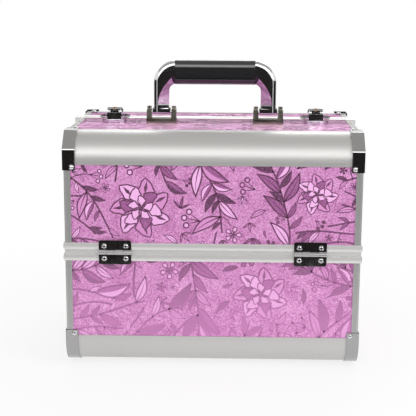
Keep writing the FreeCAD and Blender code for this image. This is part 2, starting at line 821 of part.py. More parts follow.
lid_edge = along_x(placed(edge_section(), lid_place), -board_half, board_half)
lid_post = upright_angle(split + rim_height, top - edge_reach)
lid_level = level_angle(top, 1, front_y(edge_reach), -rim_height - board_gap)
lid_cap = cap(lid_place, folded_path).cut([face_hole_lid, top_hole])
lid_leaf = hinge_leaf(1)
lid_screws = [pointed(hinge_screw_body, p, forward) for p in hinge_screw_places(split + hinge_screw_offset)]
lid_rivets = [pointed(rivet_body, face_rivet_lid, forward), pointed(rivet_body, top_rivet, upward)]
lid_fasteners = [s for piece in lid_screws + lid_rivets + [stay_stud()] for s in both_sides(piece)]
lid_nodes = {
    "front_panel": [lid_front_panel],
    "top_panel": [lid_top_panel],
    "side_panels": both_sides(lid_side_panel),
    "lining": [lid_front_sheet, lid_top_sheet] + both_sides(lid_side_sheet),
    "rim": [lid_front_rim, lid_top_rim] + both_sides(lid_side_rim) + both_sides(lid_seam_rim),
    "edge": [lid_edge],
    "corner_angles": both_sides(lid_post) + both_sides(lid_level),
    "corner_caps": both_sides(lid_cap),
    "hinge_leaves": both_sides(lid_leaf),
    "screws_and_rivets": lid_fasteners}
for name, shapes in lid_nodes.items():
    save("front_lid_" + name, shapes)
    save("back_lid_" + name.replace("front_panel", "back_panel"), [rear(s) for s in shapes])

# trays, arms and stays
tray_nodes = {
    "lower_tray": [tray(lower_tray_z, lower_reach, False)],
    "lower_dividers": dividers(lower_tray_z, lower_divider_count),
    "upper_tray": [tray(upper_tray_z, upper_reach, True)],
    "upper_dividers": dividers(upper_tray_z, upper_divider_count),
    "outer_arms": both_sides(arm(0)),
    "inner_arms": both_sides(arm(arm_spacing)),
    "lid_stays": both_sides(stay())}
for name, shapes in tray_nodes.items():
    save("front_" + name, shapes)
    save("back_" + name, [rear(s) for s in shapes])

# handle brackets on the front half, beside the seam rim
bracket_x = (handle_width - handle_leg) / 2
bracket_back = -rim_height - bracket_seam_gap
bracket_front = bracket_back - bracket_wall
handle_y = (bracket_back + bracket_front) / 2
pivot_height = top + handle_pivot_height
half = bracket_width / 2
bracket = block(
    bracket_x - half, bracket_x + half, bracket_front, bracket_back, top - skin, top + bracket_base_top)
ears = []
for side in (-1, 1):
    middle = bracket_x + side * (half - bracket_ear / 2)
    ear_top = top + bracket_ear_top
    foot_in = bracket_ear / 2
    top_in = foot_in - bracket_ear_taper
    ear_outline = [
        (middle - foot_in, top - skin), (middle + foot_in, top - skin), (middle + foot_in, top),
        (middle + top_in, ear_top), (middle - top_in, ear_top), (middle - foot_in, top)]
    ears.append(along_y(ear_outline, bracket_front, bracket_back))
    neck = vector(middle, handle_y, ear_top)
    ears.append(Part.makeCylinder(bracket_neck_radius, bracket_neck_height, neck))
    knob = neck + upward * bracket_neck_height
    ears.append(Part.makeCylinder(bracket_head_radius, bracket_head_height, knob))
bracket = joined(bracket, *ears)
handle_pin = rod(handle_pin_radius, bracket_x - half, bracket_x + half, handle_y, pivot_height)
lean_back = bracket_ear_top * math.tan(math.radians(bracket_lean))
lean_cut = [
    (bracket_front - overcut, top), (bracket_front, top), (bracket_front + lean_back, ear_top),
    (bracket_front - overcut, ear_top)]
bracket = bracket.cut([handle_pin, along_x(lean_cut, bracket_x - bracket_width, bracket_x + bracket_width)])
save("handle_brackets", both_sides(bracket))
save("handle_pins", both_sides(handle_pin))

# handle bow: one chrome bow with a thin core where the grip sits
out = handle_width / 2
leg_in = out - handle_leg
crown = top + handle_top
under = crown - handle_bar
leg_low = top + (foot_block_bottom + foot_block_top) / 2
big = handle_outer_round
small = handle_inner_round
big_mid = big * (1 - half_root)
small_mid = small * (1 - half_root)
bow_outline = [
    (out, leg_low), (out, crown - big), (out - big_mid, crown - big_mid, out - big, crown),
    (-out + big, crown), (-out + big_mid, crown - big_mid, -out, crown - big), (-out, leg_low),
    (-leg_in, leg_low), (-leg_in, under - small),
    (-leg_in + small_mid, under - small_mid, -leg_in + small, under),
    (leg_in - small, under), (leg_in - small_mid, under - small_mid, leg_in, under - small),
    (leg_in, leg_low)]
bow = along_y(bow_outline, handle_y - handle_wall / 2, handle_y + handle_wall / 2)


def long_edges(shape, floor):
    """Edges of the two broad faces, without those along the bottom of the legs."""
    chosen = []
    for edge in shape.Edges:
        box = edge.BoundBox
        if box.YLength < near_enough and box.ZMax > floor + near_enough:
            chosen.append(edge)
    return chosen


bow = bow.makeFillet(handle_edge_round, long_edges(bow, leg_low))

# hollow facet on the inner front corner of each leg
facet_angle = math.radians(facet_turn)
facet_out = vector(-math.sin(facet_angle), -math.cos(facet_angle), 0)
facet_along = vector(math.cos(facet_angle), -math.sin(facet_angle), 0)
leg_corner = vector(leg_in, handle_y - handle_wall / 2, top + facet_height)
facet_middle = leg_corner + facet_out * (facet_radius - facet_depth)
facet_start = facet_middle - facet_along * handle_leg * 2
facet = Part.makeCylinder(facet_radius, handle_leg * 4, facet_start, facet_along)
bow = bow.cut(both_sides(facet))
grip_half = grip_length / 2
centre_z = (crown + under) / 2
window = block(
    -grip_half, grip_half, handle_y - handle_wall, handle_y + handle_wall,
    under - overcut, crown + overcut)
core_z = grip_core_height / 2
core_y = grip_core_wall / 2
core = block(
    -grip_half, grip_half, handle_y - core_y, handle_y + core_y, centre_z - core_z, centre_z + core_z)
foot_half = handle_leg / 2 + foot_block_side
foot_y_half = foot_block_wall / 2
foot_block = block(
    bracket_x - foot_half, bracket_x + foot_half, handle_y - foot_y_half, handle_y + foot_y_half,
    top + foot_block_bottom, top + foot_block_top)
foot_low = top + foot_block_bottom + near_enough
low_edges = [e for e in foot_block.Edges if e.BoundBox.ZMax < foot_low and e.BoundBox.XLength > foot_half]
foot_block = foot_block.makeFillet(foot_block_round, low_edges)
bow = joined(bow.cut(window.cut(core)), foot_block, other_side(foot_block))
pin_bore = rod(handle_pin_radius + handle_pin_clearance, 0, half_width, handle_y, pivot_height)
bow = bow.cut(both_sides(pin_bore))
save("handle_bow", [bow])
grip_y = grip_wall / 2
grip = block(
    -grip_half + grip_clearance, grip_half - grip_clearance, handle_y - grip_y, handle_y + grip_y,
    under - grip_proud, crown + grip_proud)
grip = grip.makeFillet(grip_round, [e for e in grip.Edges if e.BoundBox.XLength > grip_half])
sleeve = block(
    -grip_half, grip_half, handle_y - core_y - grip_clearance, handle_y + core_y + grip_clearance,
    centre_z - core_z - grip_clearance, centre_z + core_z + grip_clearance)
save("handle_grip", [grip.cut(sleeve)])

# latch at the right, with half-oval plates on the two rims
rim_top = top + seam_proud
plate_top = rim_top + latch_plate_wall


def half_oval(low, high, near, far):
    """A slice of a half oval in front of the seam, between two distances from it."""
    start = vector(latch_centre, -latch_seam_gap, low)
    deep_half = latch_reach - latch_seam_gap
    oval = Part.Ellipse(start, max(latch_plate_half, deep_half), min(latch_plate_half, deep_half))
    whole = Part.Face(Part.Wire(oval.toShape())).extrude(vector(0, 0, high - low))
    if latch_plate_half < deep_half:
        whole.rotate(start, upward, 90)
    wide = max(latch_plate_half, deep_half) + overcut
    return whole.common(block(latch_centre - wide, latch_centre + wide, -far, -near, low, high))


def latch_bar(half, y0, y1, z0, z1):
    """A block across the latch, with heights above the top of the case."""
    return block(latch_centre - half, latch_centre + half, y0, y1, top + z0, top + z1)


def latch_pair(inner, outer, build):
    """The same piece at both sides of the latch, between two distances from its middle."""
    right = build(latch_centre + inner, latch_centre + outer)
    left = build(latch_centre - outer, latch_centre - inner)
    return [right, left]


pad_back = rim_height + latch_rim_gap
web_front = pad_back + latch_web_wall
latch_pad = half_oval(top - skin, top + latch_pad_height, pad_back, latch_reach + overcut)
latch_plate = half_oval(rim_top, plate_top, latch_seam_gap, web_front)
latch_web = latch_bar(latch_web_half, -web_front, -pad_back, -skin, seam_proud + latch_plate_wall)
half_base = joined(latch_pad, latch_plate, latch_web)

# housing on the front half, with a front face and two lugs that carry the lever
pin_y = -web_front + lever_pin_inset
pin_z = top + lever_pin_height
lug_out = lever_half - lever_wall - lug_gap
lug_in = lug_out - lug_wall
face_front = -web_front - latch_face_wall
face_lean = (skin + latch_face_top) * math.tan(math.radians(latch_face_lean))
latch_face = along_x(
    [(face_front, top - skin), (-web_front, top - skin), (-web_front, top + latch_face_top),
     (face_front + face_lean, top + latch_face_top)],
    latch_centre - lever_half, latch_centre + lever_half)
lug_front = pin_y - lug_radius
lug_back = pin_y + lug_radius
lugs = latch_pair(lug_in, lug_out, lambda low, high: block(low, high, lug_front, lug_back, rim_top, pin_z))
lugs += latch_pair(lug_in, lug_out, lambda low, high: rod(lug_radius, low, high, pin_y, pin_z))
lugs += latch_pair(lug_in, lever_half, lambda low, high: rod(lever_pin_radius, low, high, pin_y, pin_z))
save("latch_housings", both_sides(joined(half_base, latch_face, *lugs)))

# lever: a cover with two cheeks, a back wall and the bolt, drawn back clear of the keeper
lever_back = -lever_seam_gap
cover_low = lever_top - lever_wall
cover = latch_bar(lever_half, pin_y - lever_nose, lever_back, cover_low, lever_top)
nose_edge = vector(latch_centre, pin_y - lever_nose, top + lever_top)
nose_edges = [e for e in cover.Edges if e.CenterOfMass.isEqual(nose_edge, near_enough)]
cover = cover.makeChamfer(lever_chamfer, nose_edges)
back_wall = latch_bar(lever_half, lever_back - lever_wall, lever_back, lever_back_bottom, lever_top)
bolt_low = (lever_back_bottom + cover_low - bolt_height) / 2
bolt_high = bolt_low + bolt_height
bolt = latch_bar(bolt_half, lever_back - lever_wall, lever_back + bolt_reach, bolt_low, bolt_high)
cheek_inner = lever_half - lever_wall
cheek_outline = [
    (pin_y - lever_nose, top + cover_low), (pin_y - lever_nose, pin_z), (pin_y, pin_z - lever_eye_radius),
    (lever_back - lever_wall, top + lever_back_bottom), (lever_back, top + lever_back_bottom),
    (lever_back, top + cover_low)]
cheeks = latch_pair(cheek_inner, lever_half, lambda low, high: along_x(cheek_outline, low, high))
cheeks += latch_pair(
    cheek_inner, lever_half,
    lambda low, high: rod(lever_eye_radius, low, high, pin_y, pin_z).common(
        block(low, high, -half_depth, half_depth, top, top + lever_top)))
lever = joined(cover, back_wall, bolt, *cheeks)
plug_y = lever_back - plug_inset
pin_hole = rod(lever_pin_radius + lever_pin_clearance, 0, case_width, pin_y, pin_z)
plug_foot = vector(latch_centre, plug_y, top + cover_low - overcut)
plug_hole = Part.makeCylinder(plug_radius + plug_clearance, lever_top, plug_foot)
lever = lever.cut([pin_hole, plug_hole])
save("right_latch_lever", [lever])
save("left_latch_lever", [other_side(lever)])

# keeper on the back half, with a slot for the bolt
keeper = latch_bar(lever_half, keeper_seam_gap, keeper_seam_gap + keeper_wall, seam_proud, keeper_top)
upper_edges = [e for e in keeper.Edges if e.BoundBox.ZMin > top + keeper_top - near_enough]
keeper = keeper.makeFillet(keeper_round, upper_edges)
keeper_slot = latch_bar(
    bolt_half + bolt_clearance, 0, keeper_seam_gap + keeper_slot_depth,
    bolt_low - bolt_clearance, bolt_high + bolt_clearance)
save("latch_keepers", both_sides(joined(rear(half_base), keeper).cut(keeper_slot)))

# lock plug with a key slot
flat = top + lever_top
plug = joined(
    Part.makeCylinder(plug_radius, plug_depth, vector(latch_centre, plug_y, flat - plug_depth)),
    Part.makeCylinder(plug_radius + plug_flange, plug_flange_wall, vector(latch_centre, plug_y, flat)))
slot_half = key_slot_length / 2
slot_wide = key_slot_width / 2
plug_top = flat + plug_flange_wall
key_slot = block(
    latch_centre - slot_wide, latch_centre + slot_wide, plug_y - slot_half, plug_y + slot_half,
    plug_top - key_slot_depth, plug_top)
plug = plug.cut(key_slot)
save("right_lock_plug", [plug])
save("left_lock_plug", [other_side(plug)])
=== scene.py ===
"""Looks of a makeup train case: finishes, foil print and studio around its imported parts."""

import json
import math
import random

import bmesh
import bpy
from mathutils import Matrix, Vector


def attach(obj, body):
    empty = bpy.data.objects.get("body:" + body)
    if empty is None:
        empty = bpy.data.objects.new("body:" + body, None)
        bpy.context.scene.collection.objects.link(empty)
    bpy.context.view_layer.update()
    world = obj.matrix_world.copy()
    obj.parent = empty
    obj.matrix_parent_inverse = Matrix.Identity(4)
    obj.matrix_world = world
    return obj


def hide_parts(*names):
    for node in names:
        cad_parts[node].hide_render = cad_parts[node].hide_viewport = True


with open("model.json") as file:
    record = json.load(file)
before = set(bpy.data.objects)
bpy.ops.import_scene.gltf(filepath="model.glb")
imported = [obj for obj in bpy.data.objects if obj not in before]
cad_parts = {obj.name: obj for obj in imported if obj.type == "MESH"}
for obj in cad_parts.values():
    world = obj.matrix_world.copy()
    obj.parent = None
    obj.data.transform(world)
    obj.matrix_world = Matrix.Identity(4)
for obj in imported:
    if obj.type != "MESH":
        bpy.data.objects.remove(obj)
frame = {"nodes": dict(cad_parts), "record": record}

bl_info = {
    "name": "Makeup train case finishes",
    "version": (1, 0, 0),
    "blender": (4, 5, 0),
    "location": "3D View > Sidebar > Train case",
    "description": "Dresses a packed makeup train case with metal, foil, lining and a small studio",
    "category": "Object",
}

MM = 0.001
STARTUP_OBJECTS = ("Cube", "Light", "Camera")
for startup_name in STARTUP_OBJECTS:
    if startup_name in bpy.data.objects:
        bpy.data.objects.remove(bpy.data.objects[startup_name])
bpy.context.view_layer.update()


def linear(code):
    """A colour written as an sRGB hex value, as linear red, green, blue and alpha."""
    parts = [int(code[n:n + 2], 16) / 255 for n in (1, 3, 5)]
    spread = [p / 12.92 if p <= 0.04045 else ((p + 0.055) / 1.055) ** 2.4 for p in parts]
    return (*spread, 1.0)


def colour_value(name, code, description):
    return bpy.props.FloatVectorProperty(
        name=name, description=description, subtype="COLOR", size=4, min=0, max=1, default=linear(code))


def length_value(name, millimetres, description):
    return bpy.props.FloatProperty(
        name=name, description=description, unit="LENGTH", min=0, precision=5, default=millimetres * MM)


class CaseColours(bpy.types.PropertyGroup):
    """Colours of the case that a user would change."""
    foil: colour_value("Foil", "#D98DC8", "Ground colour of the glittering foil")
    foil_light: colour_value("Foil flakes, light", "#F2B8E6", "Flakes that catch the light")
    foil_dark: colour_value("Foil flakes, dark", "#B26BA2", "Flakes turned away from the light")
    petal: colour_value("Petal", "#FFC2F6", "Bright smooth foil of petals and some leaves")
    pale: colour_value("Pale leaf", "#E39AD4", "Smooth foil that is close to the ground")
    middle: colour_value("Middle leaf", "#8B487F", "Grainy purple foil of leaves")
    dark: colour_value("Dark accent", "#361430", "Darkest foil in petals and leaves")
    line: colour_value("Outline", "#481A3A", "Outlines of leaves and petals")
    # painted reflection: the print is blended towards this colour near the floor and on the top boards
    painted_reflection: colour_value("Print under painted reflection", "#D58CC5", "Print near the bottom of the case")
    aluminium: colour_value("Aluminium", "#C9C8C6", "Satin edges at the top and bottom")
    rim: colour_value("Rims", "#E2E1DF", "Satin extrusions round the mouths of base and lids")
    angle: colour_value("Corner angles", "#B9B9B8", "Grooved uprights at the corners")
    chrome: colour_value("Chrome", "#DCDCDF", "Bright plated handle, catches and screws")
    nickel: colour_value("Nickel", "#ADACAC", "Darker plated caps of the base")
    # painted reflection: the olive tint of this plate stands in for a brownish reflection
    bracket: colour_value("Brackets", "#BDB8AA", "Softly polished brackets of the handle")
    bright_nickel: colour_value("Bright nickel", "#C8C7C7", "Plated hinges and caps of the lids")
    brass: colour_value("Brass", "#B9924C", "Lock plugs")
    grip: colour_value("Grip", "#0F0E12", "Moulded handle grip")
    tray: colour_value("Trays", "#1D1A1F", "Moulded trays and dividers")
    lining: colour_value("Lining", "#231C24", "Flocked lining")
    zinc: colour_value("Links", "#A8A9AB", "Zinc-plated arms, stays and studs")
    rubber: colour_value("Feet", "#1B1B1B", "Rubber feet")


class CaseSizes(bpy.types.PropertyGroup):
    """Sizes of the finishes that a user would change."""
    flake: length_value("Glitter flake", 1.0, "Width of one flake, drawn coarse enough to show")
    brush: length_value("Brush line", 0.5, "Spacing of the satin lines, drawn coarse enough to show")
    stem: length_value("Stem width", 1.8, "Width of a main stem of the print")
    row: length_value("Vine spacing", 44.0, "Rough distance between vines; a smaller one gives more of them")
    leaf: length_value("Leaf length", 31.0, "Length of a common leaf of the print")
    blossom: length_value("Blossom width", 21.0, "Width of a small blossom of the print")
    rosette: length_value("Rosette width", 62.0, "Width of a large bloom of the print")
    relief: length_value("Relief", 0.12, "Height of the lowest layer of the print")
    strip: length_value("Lining strip", 0.8, "Thickness of the lining over the rounded edge bars")
    ease: length_value("Eased edge", 0.25, "Rounding of the sharp edges of metal pieces")


def colours():
    return bpy.context.scene.case_colours


def sizes():
    return bpy.context.scene.case_sizes


# nodes and materials

def add(tree, kind, inputs=None, **settings):
    """One node with its settings, and its inputs set or linked, a whole node by its first output."""
    node = tree.nodes.new(kind)
    for key, value in settings.items():
        setattr(node, key, value)
    for key, value in (inputs or {}).items():
        if isinstance(value, bpy.types.Node):
            value = value.outputs[0]
        if isinstance(value, bpy.types.NodeSocket):
            tree.links.new(value, node.inputs[key])
        else:
            node.inputs[key].default_value = value
    return node


def bare_material(name):
    """A new material and its empty node tree."""
    material = bpy.data.materials.new(name)
    material.use_nodes = True
    material.node_tree.nodes.clear()
    return material, material.node_tree


def start_material(name, inputs):
    """A material with one shader, constants on its own sockets, and the piece's own coordinates."""
    material, tree = bare_material(name)
    shader = add(tree, "ShaderNodeBsdfPrincipled", inputs)
    add(tree, "ShaderNodeOutputMaterial", {"Surface": shader})
    place = add(tree, "ShaderNodeTexCoord").outputs["Object"]
    return material, tree, shader, place


FOIL_DEPTH = 0.5 * MM  # foil and the edge that it is turned over
FLAKE_LEAN = 0.22      # how far a flake's direction strays from the board's
CLOUD = 28 * MM        # patches in which the ground is a little lighter or darker


def glitter_foil(name, outer_side=None):
    """Foil laminate on board: a satin ground of fine flakes that each lean their own way.

    A side board shows the dark paper of its back wherever it lies deeper than its outer side.
    """
    material, tree, shader, place = start_material(name, {
        "Metallic": 0.3, "Roughness": 0.42, "Coat Weight": 0.25, "Coat Roughness": 0.2})
    flakes = add(tree, "ShaderNodeTexVoronoi", {"Vector": place, "Scale": 1 / sizes().flake})
    cloud = add(tree, "ShaderNodeTexNoise", {"Vector": place, "Scale": 1 / CLOUD, "Detail": 3.0})
    shade = add(tree, "ShaderNodeSeparateColor", {"Color": flakes.outputs["Color"]}).outputs["Red"]
    mixed = add(tree, "ShaderNodeMath", {0: shade, 1: cloud.outputs["Fac"]}, operation="ADD")
    half = add(tree, "ShaderNodeMath", {0: mixed, 1: 0.5}, operation="MULTIPLY")
    look = colours()
    shades = add(tree, "ShaderNodeValToRGB", {"Fac": half})
    shades.color_ramp.elements.new(0.5)
    stops = ((0.2, look.foil_dark), (0.5, look.foil), (0.82, look.foil_light))
    for element, (position, tone) in zip(shades.color_ramp.elements, stops):
        element.position = position
        element.color = tone
    colour = shades.outputs["Color"]
    if outer_side:
        across = add(tree, "ShaderNodeSeparateXYZ", {"Vector": place}).outputs["X"]
        reach = add(tree, "ShaderNodeMath", {0: across}, operation="ABSOLUTE")
        skin = add(tree, "ShaderNodeMath", {0: reach, 1: outer_side - FOIL_DEPTH}, operation="GREATER_THAN")
        backed = add(tree, "ShaderNodeMix", {0: skin, 6: look.lining, 7: colour}, data_type="RGBA")
        colour = backed.outputs[2]
    tree.links.new(colour, shader.inputs["Base Color"])
    middle = (0.5, 0.5, 0.5)
    lean = add(tree, "ShaderNodeVectorMath", {0: flakes.outputs["Color"], 1: middle}, operation="SUBTRACT")
    soft = add(tree, "ShaderNodeVectorMath", {0: lean, "Scale": FLAKE_LEAN}, operation="SCALE")
    normal = add(tree, "ShaderNodeNewGeometry").outputs["Normal"]
    tilted = add(tree, "ShaderNodeVectorMath", {0: normal, 1: soft}, operation="ADD")
    unit = add(tree, "ShaderNodeVectorMath", {0: tilted}, operation="NORMALIZE")
    tree.links.new(unit.outputs[0], shader.inputs["Normal"])
    return material


# painted reflection: the print is blended towards a pale colour near the floor, and painted glare blends it
# on the top boards
REFLECTION_LOW = 30 * MM    # print is palest here
REFLECTION_HIGH = 190 * MM  # and at full strength from here up, but for the top
REFLECTED_PRINT_SHARE = 0.27     # share of the print's own colour where it is palest
GLARE_PRINT_SHARE = 0.45       # and on the top boards
TOP_EDGE = 4 * MM     # below the top boards, where the change to their colour starts
SPECK = 1.5 * MM      # grain of the stamped foil, drawn coarser than real so that it shows
TOP_BOARD = max(v.co.z for v in frame["nodes"]["front_lid_top_panel"].data.vertices)


def printed_foil(name, strong, inputs, grain):
    """Hot-stamped foil: smooth where it is bright, grainy where it is dark; painted reflection makes it
    paler towards the floor, and painted glare makes it paler on the top boards.
    """
    material, tree, shader, place = start_material(name, inputs)
    height = add(tree, "ShaderNodeSeparateXYZ", {"Vector": place}).outputs["Z"]
    # painted reflection: the print pales towards the floor
    under_reflection = add(
        tree, "ShaderNodeMapRange",
        {"Value": height, "From Min": REFLECTION_LOW, "From Max": REFLECTION_HIGH, "To Min": REFLECTED_PRINT_SHARE, "To Max": 1.0},
        interpolation_type="SMOOTHSTEP")
    # painted glare: the print pales on the top boards
    painted_glare_top = add(tree, "ShaderNodeMapRange", {
        "Value": height, "From Min": TOP_BOARD - TOP_EDGE, "From Max": TOP_BOARD - MM,
        "To Min": 1.0, "To Max": GLARE_PRINT_SHARE})
    level = add(tree, "ShaderNodeMath", {0: under_reflection, 1: painted_glare_top}, operation="MULTIPLY")
    speck = add(tree, "ShaderNodeTexNoise", {"Vector": place, "Scale": 1 / SPECK, "Detail": 2.0})
    strength = add(tree, "ShaderNodeMapRange", {
        "Value": speck.outputs["Fac"], "From Min": 0.3, "From Max": 0.7,
        "To Min": 1 - grain, "To Max": 1.0})
    factor = add(tree, "ShaderNodeMath", {0: level, 1: strength}, operation="MULTIPLY")
    # colour of the painted reflection and glare over the print
    painted_reflection = colours().painted_reflection
    mixed = add(tree, "ShaderNodeMix", {0: factor, 6: painted_reflection, 7: strong}, data_type="RGBA")
    tree.links.new(mixed.outputs[2], shader.inputs["Base Color"])
    return material


SMOOTH_FOIL = {"Metallic": 0.15, "Roughness": 0.24, "Coat Weight": 0.9, "Coat Roughness": 0.06}
GRAINY_FOIL = {"Metallic": 0.2, "Roughness": 0.4}


def print_materials():
    """The finishes of the print by the names that its motifs use."""
    look = colours()
    return {
        "petal": printed_foil("stamped_foil_bright", look.petal, SMOOTH_FOIL, 0.15),
        "pale": printed_foil("stamped_foil_pale", look.pale, SMOOTH_FOIL, 0.12),
        "middle": printed_foil("stamped_foil_purple", look.middle, GRAINY_FOIL, 0.5),
        "dark": printed_foil("stamped_foil_dark", look.dark, GRAINY_FOIL, 0.4),
        "line": printed_foil("stamped_foil_outline", look.line, GRAINY_FOIL, 0.3)}


DRAWN_LINE = 90 * MM  # length of one line that drawing leaves on a bar
HAND_MARK = 14 * MM   # width of a patch that handling dulls


def satin_aluminium(name, colour, along):
    """Anodised extrusion: a soft satin with faint lines along the bar from drawing it."""
    material, tree, shader, place = start_material(name, {"Base Color": colour, "Metallic": 0.66})
    stretch = [1 / sizes().brush] * 3
    stretch[along] = 1 / DRAWN_LINE
    lines = add(tree, "ShaderNodeMapping", {"Vector": place, "Scale": stretch})
    grain = add(tree, "ShaderNodeTexNoise", {"Vector": lines, "Scale": 1.0, "Detail": 2.0})
    rough = add(tree, "ShaderNodeMapRange", {"Value": grain.outputs["Fac"], "To Min": 0.34, "To Max": 0.48})
    tree.links.new(rough.outputs[0], shader.inputs["Roughness"])
    bump = add(
        tree, "ShaderNodeBump", {"Height": grain.outputs["Fac"], "Strength": 0.05, "Distance": 0.1 * MM})
    tree.links.new(bump.outputs[0], shader.inputs["Normal"])
    return material


def mirror_plate(name, colour, clear, dull):
    """Chrome or nickel plate: a mirror, a little dulled in patches by handling."""
    material, tree, shader, place = start_material(name, {"Base Color": colour, "Metallic": 1.0})
    hands = add(tree, "ShaderNodeTexNoise", {"Vector": place, "Scale": 1 / HAND_MARK, "Detail": 4.0})
    rough = add(tree, "ShaderNodeMapRange", {
        "Value": hands.outputs["Fac"], "From Min": 0.35, "From Max": 0.75,
        "To Min": clear, "To Max": dull})
    tree.links.new(rough.outputs[0], shader.inputs["Roughness"])
    return material


def chrome_plate():
    """Bright chrome of the handle, the catches and the screws."""
    return mirror_plate("chrome_plate", colours().chrome, 0.035, 0.12)


def grained(name, inputs, width, depth, rough):
    """A material with a fine grain of one width, in its height and in its gloss."""
    material, tree, shader, place = start_material(name, inputs)
    grain = add(tree, "ShaderNodeTexNoise", {"Vector": place, "Scale": 1 / width, "Detail": 3.0})
    spread = add(
        tree, "ShaderNodeMapRange", {"Value": grain.outputs["Fac"], "To Min": rough[0], "To Max": rough[1]})
    tree.links.new(spread.outputs[0], shader.inputs["Roughness"])
    bump = add(tree, "ShaderNodeBump", {"Height": grain.outputs["Fac"], "Strength": 0.5, "Distance": depth})
    tree.links.new(bump.outputs[0], shader.inputs["Normal"])
    return material


def gloss_grip():
    """Moulded PVC: deep black with a clear gloss and the faintest orange peel."""
    gloss = {
        "Base Color": colours().grip, "Coat Weight": 1.0, "Coat IOR": 1.7, "Coat Roughness": 0.14}
    return grained("gloss_black_pvc", gloss, 2.5 * MM, 0.004 * MM, (0.2, 0.3))


def turned_brass():
    """Bare turned brass: warm, with a fine dull grain."""
    return grained(
        "turned_brass", {"Base Color": colours().brass, "Metallic": 1.0}, 0.5 * MM, 0.03 * MM, (0.2, 0.4))


def tray_plastic():
    """Moulded ABS: black with a fine spark-eroded grain."""
    return grained(
        "grained_black_abs", {"Base Color": colours().tray}, 0.9 * MM, 0.08 * MM, (0.4, 0.62))


def foot_rubber():
    """Moulded rubber: matte, a little dusty."""
    return grained("moulded_rubber", {"Base Color": colours().rubber}, 1.2 * MM, 0.1 * MM, (0.7, 0.9))


def flocked_lining():
    """Flock on thin sheet: short pile that is dull face on and pale along its edges."""
    return grained(
        "flocked_lining", {"Base Color": colours().lining, "Sheen Weight": 0.6, "Sheen Roughness": 0.5},
        0.7 * MM, 0.25 * MM, (0.85, 1.0))


def zinc_plate():
    """Zinc-plated strip: pale grey metal with a soft mottle."""
    plate = {"Base Color": colours().zinc, "Metallic": 1.0}
    return grained("zinc_plated_strip", plate, 3.0 * MM, 0.02 * MM, (0.28, 0.45))


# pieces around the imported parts

def body_of(node):
    """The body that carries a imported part."""
    bodies = frame["record"]["behaviour"]["bodies"]
    return next(body for body, nodes in bodies.items() if node in nodes)


def dress(node, material):
    """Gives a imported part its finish; its shape stays."""
    mesh = frame["nodes"][node].data
    for index in range(len(mesh.materials)):
        mesh.materials[index] = material


def linked(name, data):
    """A new object in the scene."""
    thing = bpy.data.objects.new(name, data)
    bpy.context.scene.collection.objects.link(thing)
    return thing


def piece_from(name, mesh, body):
    """A new piece at the origin that rides on a body."""
    piece = linked(name, mesh)
    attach(piece, body)
    return piece


def evaluated_mesh(source):
    """The plain mesh that an object's modifiers make; the object is then removed."""
    graph = bpy.context.evaluated_depsgraph_get()
    mesh = bpy.data.meshes.new_from_object(source.evaluated_get(graph), depsgraph=graph)
    bpy.data.objects.remove(source)
    return mesh


SHARP = math.radians(32)   # edges that turn by more than this are eased
FLAT = math.radians(0.6)   # faces that turn by less than this become one
WELD = 0.001 * MM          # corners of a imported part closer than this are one
POLISHED_REACH = 152 * MM  # from the middle to where the polish of the seam rims ends
POLISHED_TURN = 0.9        # least cosine between a polished face and the depth of the case


def packed_shape(node):
    """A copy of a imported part's mesh, with its loose triangles joined."""
    shape = bmesh.new()
    shape.from_mesh(frame["nodes"][node].data)
    bmesh.ops.remove_doubles(shape, verts=shape.verts, dist=WELD)
    return shape


def source_from(node, shape, *materials):
    """An object for modifiers to work on, from a shape that is then freed."""
    mesh = bpy.data.meshes.new(node + "_source")
    shape.to_mesh(mesh)
    shape.free()
    if "custom_normal" in mesh.attributes:
        mesh.attributes.remove(mesh.attributes["custom_normal"])
    mesh.materials.clear()
    for material in materials:
        mesh.materials.append(material)
    return linked(node + "_source", mesh)


def eased_copy(node, material, width, polished=None):
    """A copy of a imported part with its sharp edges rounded, which stands for it.

    Where a second material is given, faces that stand up from the top boards get it, short of their ends.
    """
    shape = packed_shape(node)
    bmesh.ops.dissolve_limit(shape, angle_limit=FLAT, verts=shape.verts, edges=shape.edges)
    materials = [material]
    if polished:
        materials.append(polished)
        for place in (-POLISHED_REACH, POLISHED_REACH):
            whole = [*shape.verts, *shape.edges, *shape.faces]
            bmesh.ops.bisect_plane(shape, geom=whole, plane_co=(place, 0, 0), plane_no=(1, 0, 0))
    source = source_from(node, shape, *materials)
    for face in source.data.polygons:
        face.use_smooth = True
        if polished:
            upright = face.center.z > TOP_BOARD and abs(face.normal.y) > POLISHED_TURN
            face.material_index = int(upright and abs(face.center.x) < POLISHED_REACH)
    source.data.set_sharp_from_angle(angle=SHARP)
    bevel = source.modifiers.new("Eased edges", "BEVEL")
    bevel.width = width
    bevel.segments = 2
    bevel.limit_method = "ANGLE"
    bevel.angle_limit = SHARP
    bevel.harden_normals = True
    piece = piece_from(node + "_finish", evaluated_mesh(source), body_of(node))
    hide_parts(node)


EDGE_BARS = ("base_edges", "front_lid_edge", "back_lid_edge")
FACING_IN = 0.6     # least cosine between a face that gets lining and the way to the middle of the case
BARE_EDGE = 3 * MM  # outermost part of a bar, which gets no lining


def lining_strip(node, material):
    """Lining over the faces of a rounded edge bar that look into the case."""
    shape = packed_shape(node)
    outer = max(abs(v.co.y) for v in shape.verts)
    outside = []
    for face in shape.faces:
        place = face.calc_center_median()
        inward = Vector((0, -place.y, TOP_BOARD / 2 - place.z)).normalized()
        if face.normal.dot(inward) < FACING_IN or abs(place.y) > outer - BARE_EDGE:
            outside.append(face)
    bmesh.ops.delete(shape, geom=outside, context="FACES")
    source = source_from(node, shape, material)
    sheet = source.modifiers.new("Sheet", "SOLIDIFY")
    sheet.thickness = sizes().strip
    sheet.offset = 1.0
    piece_from(node + "_lining", evaluated_mesh(source), body_of(node))


# foil print: boards

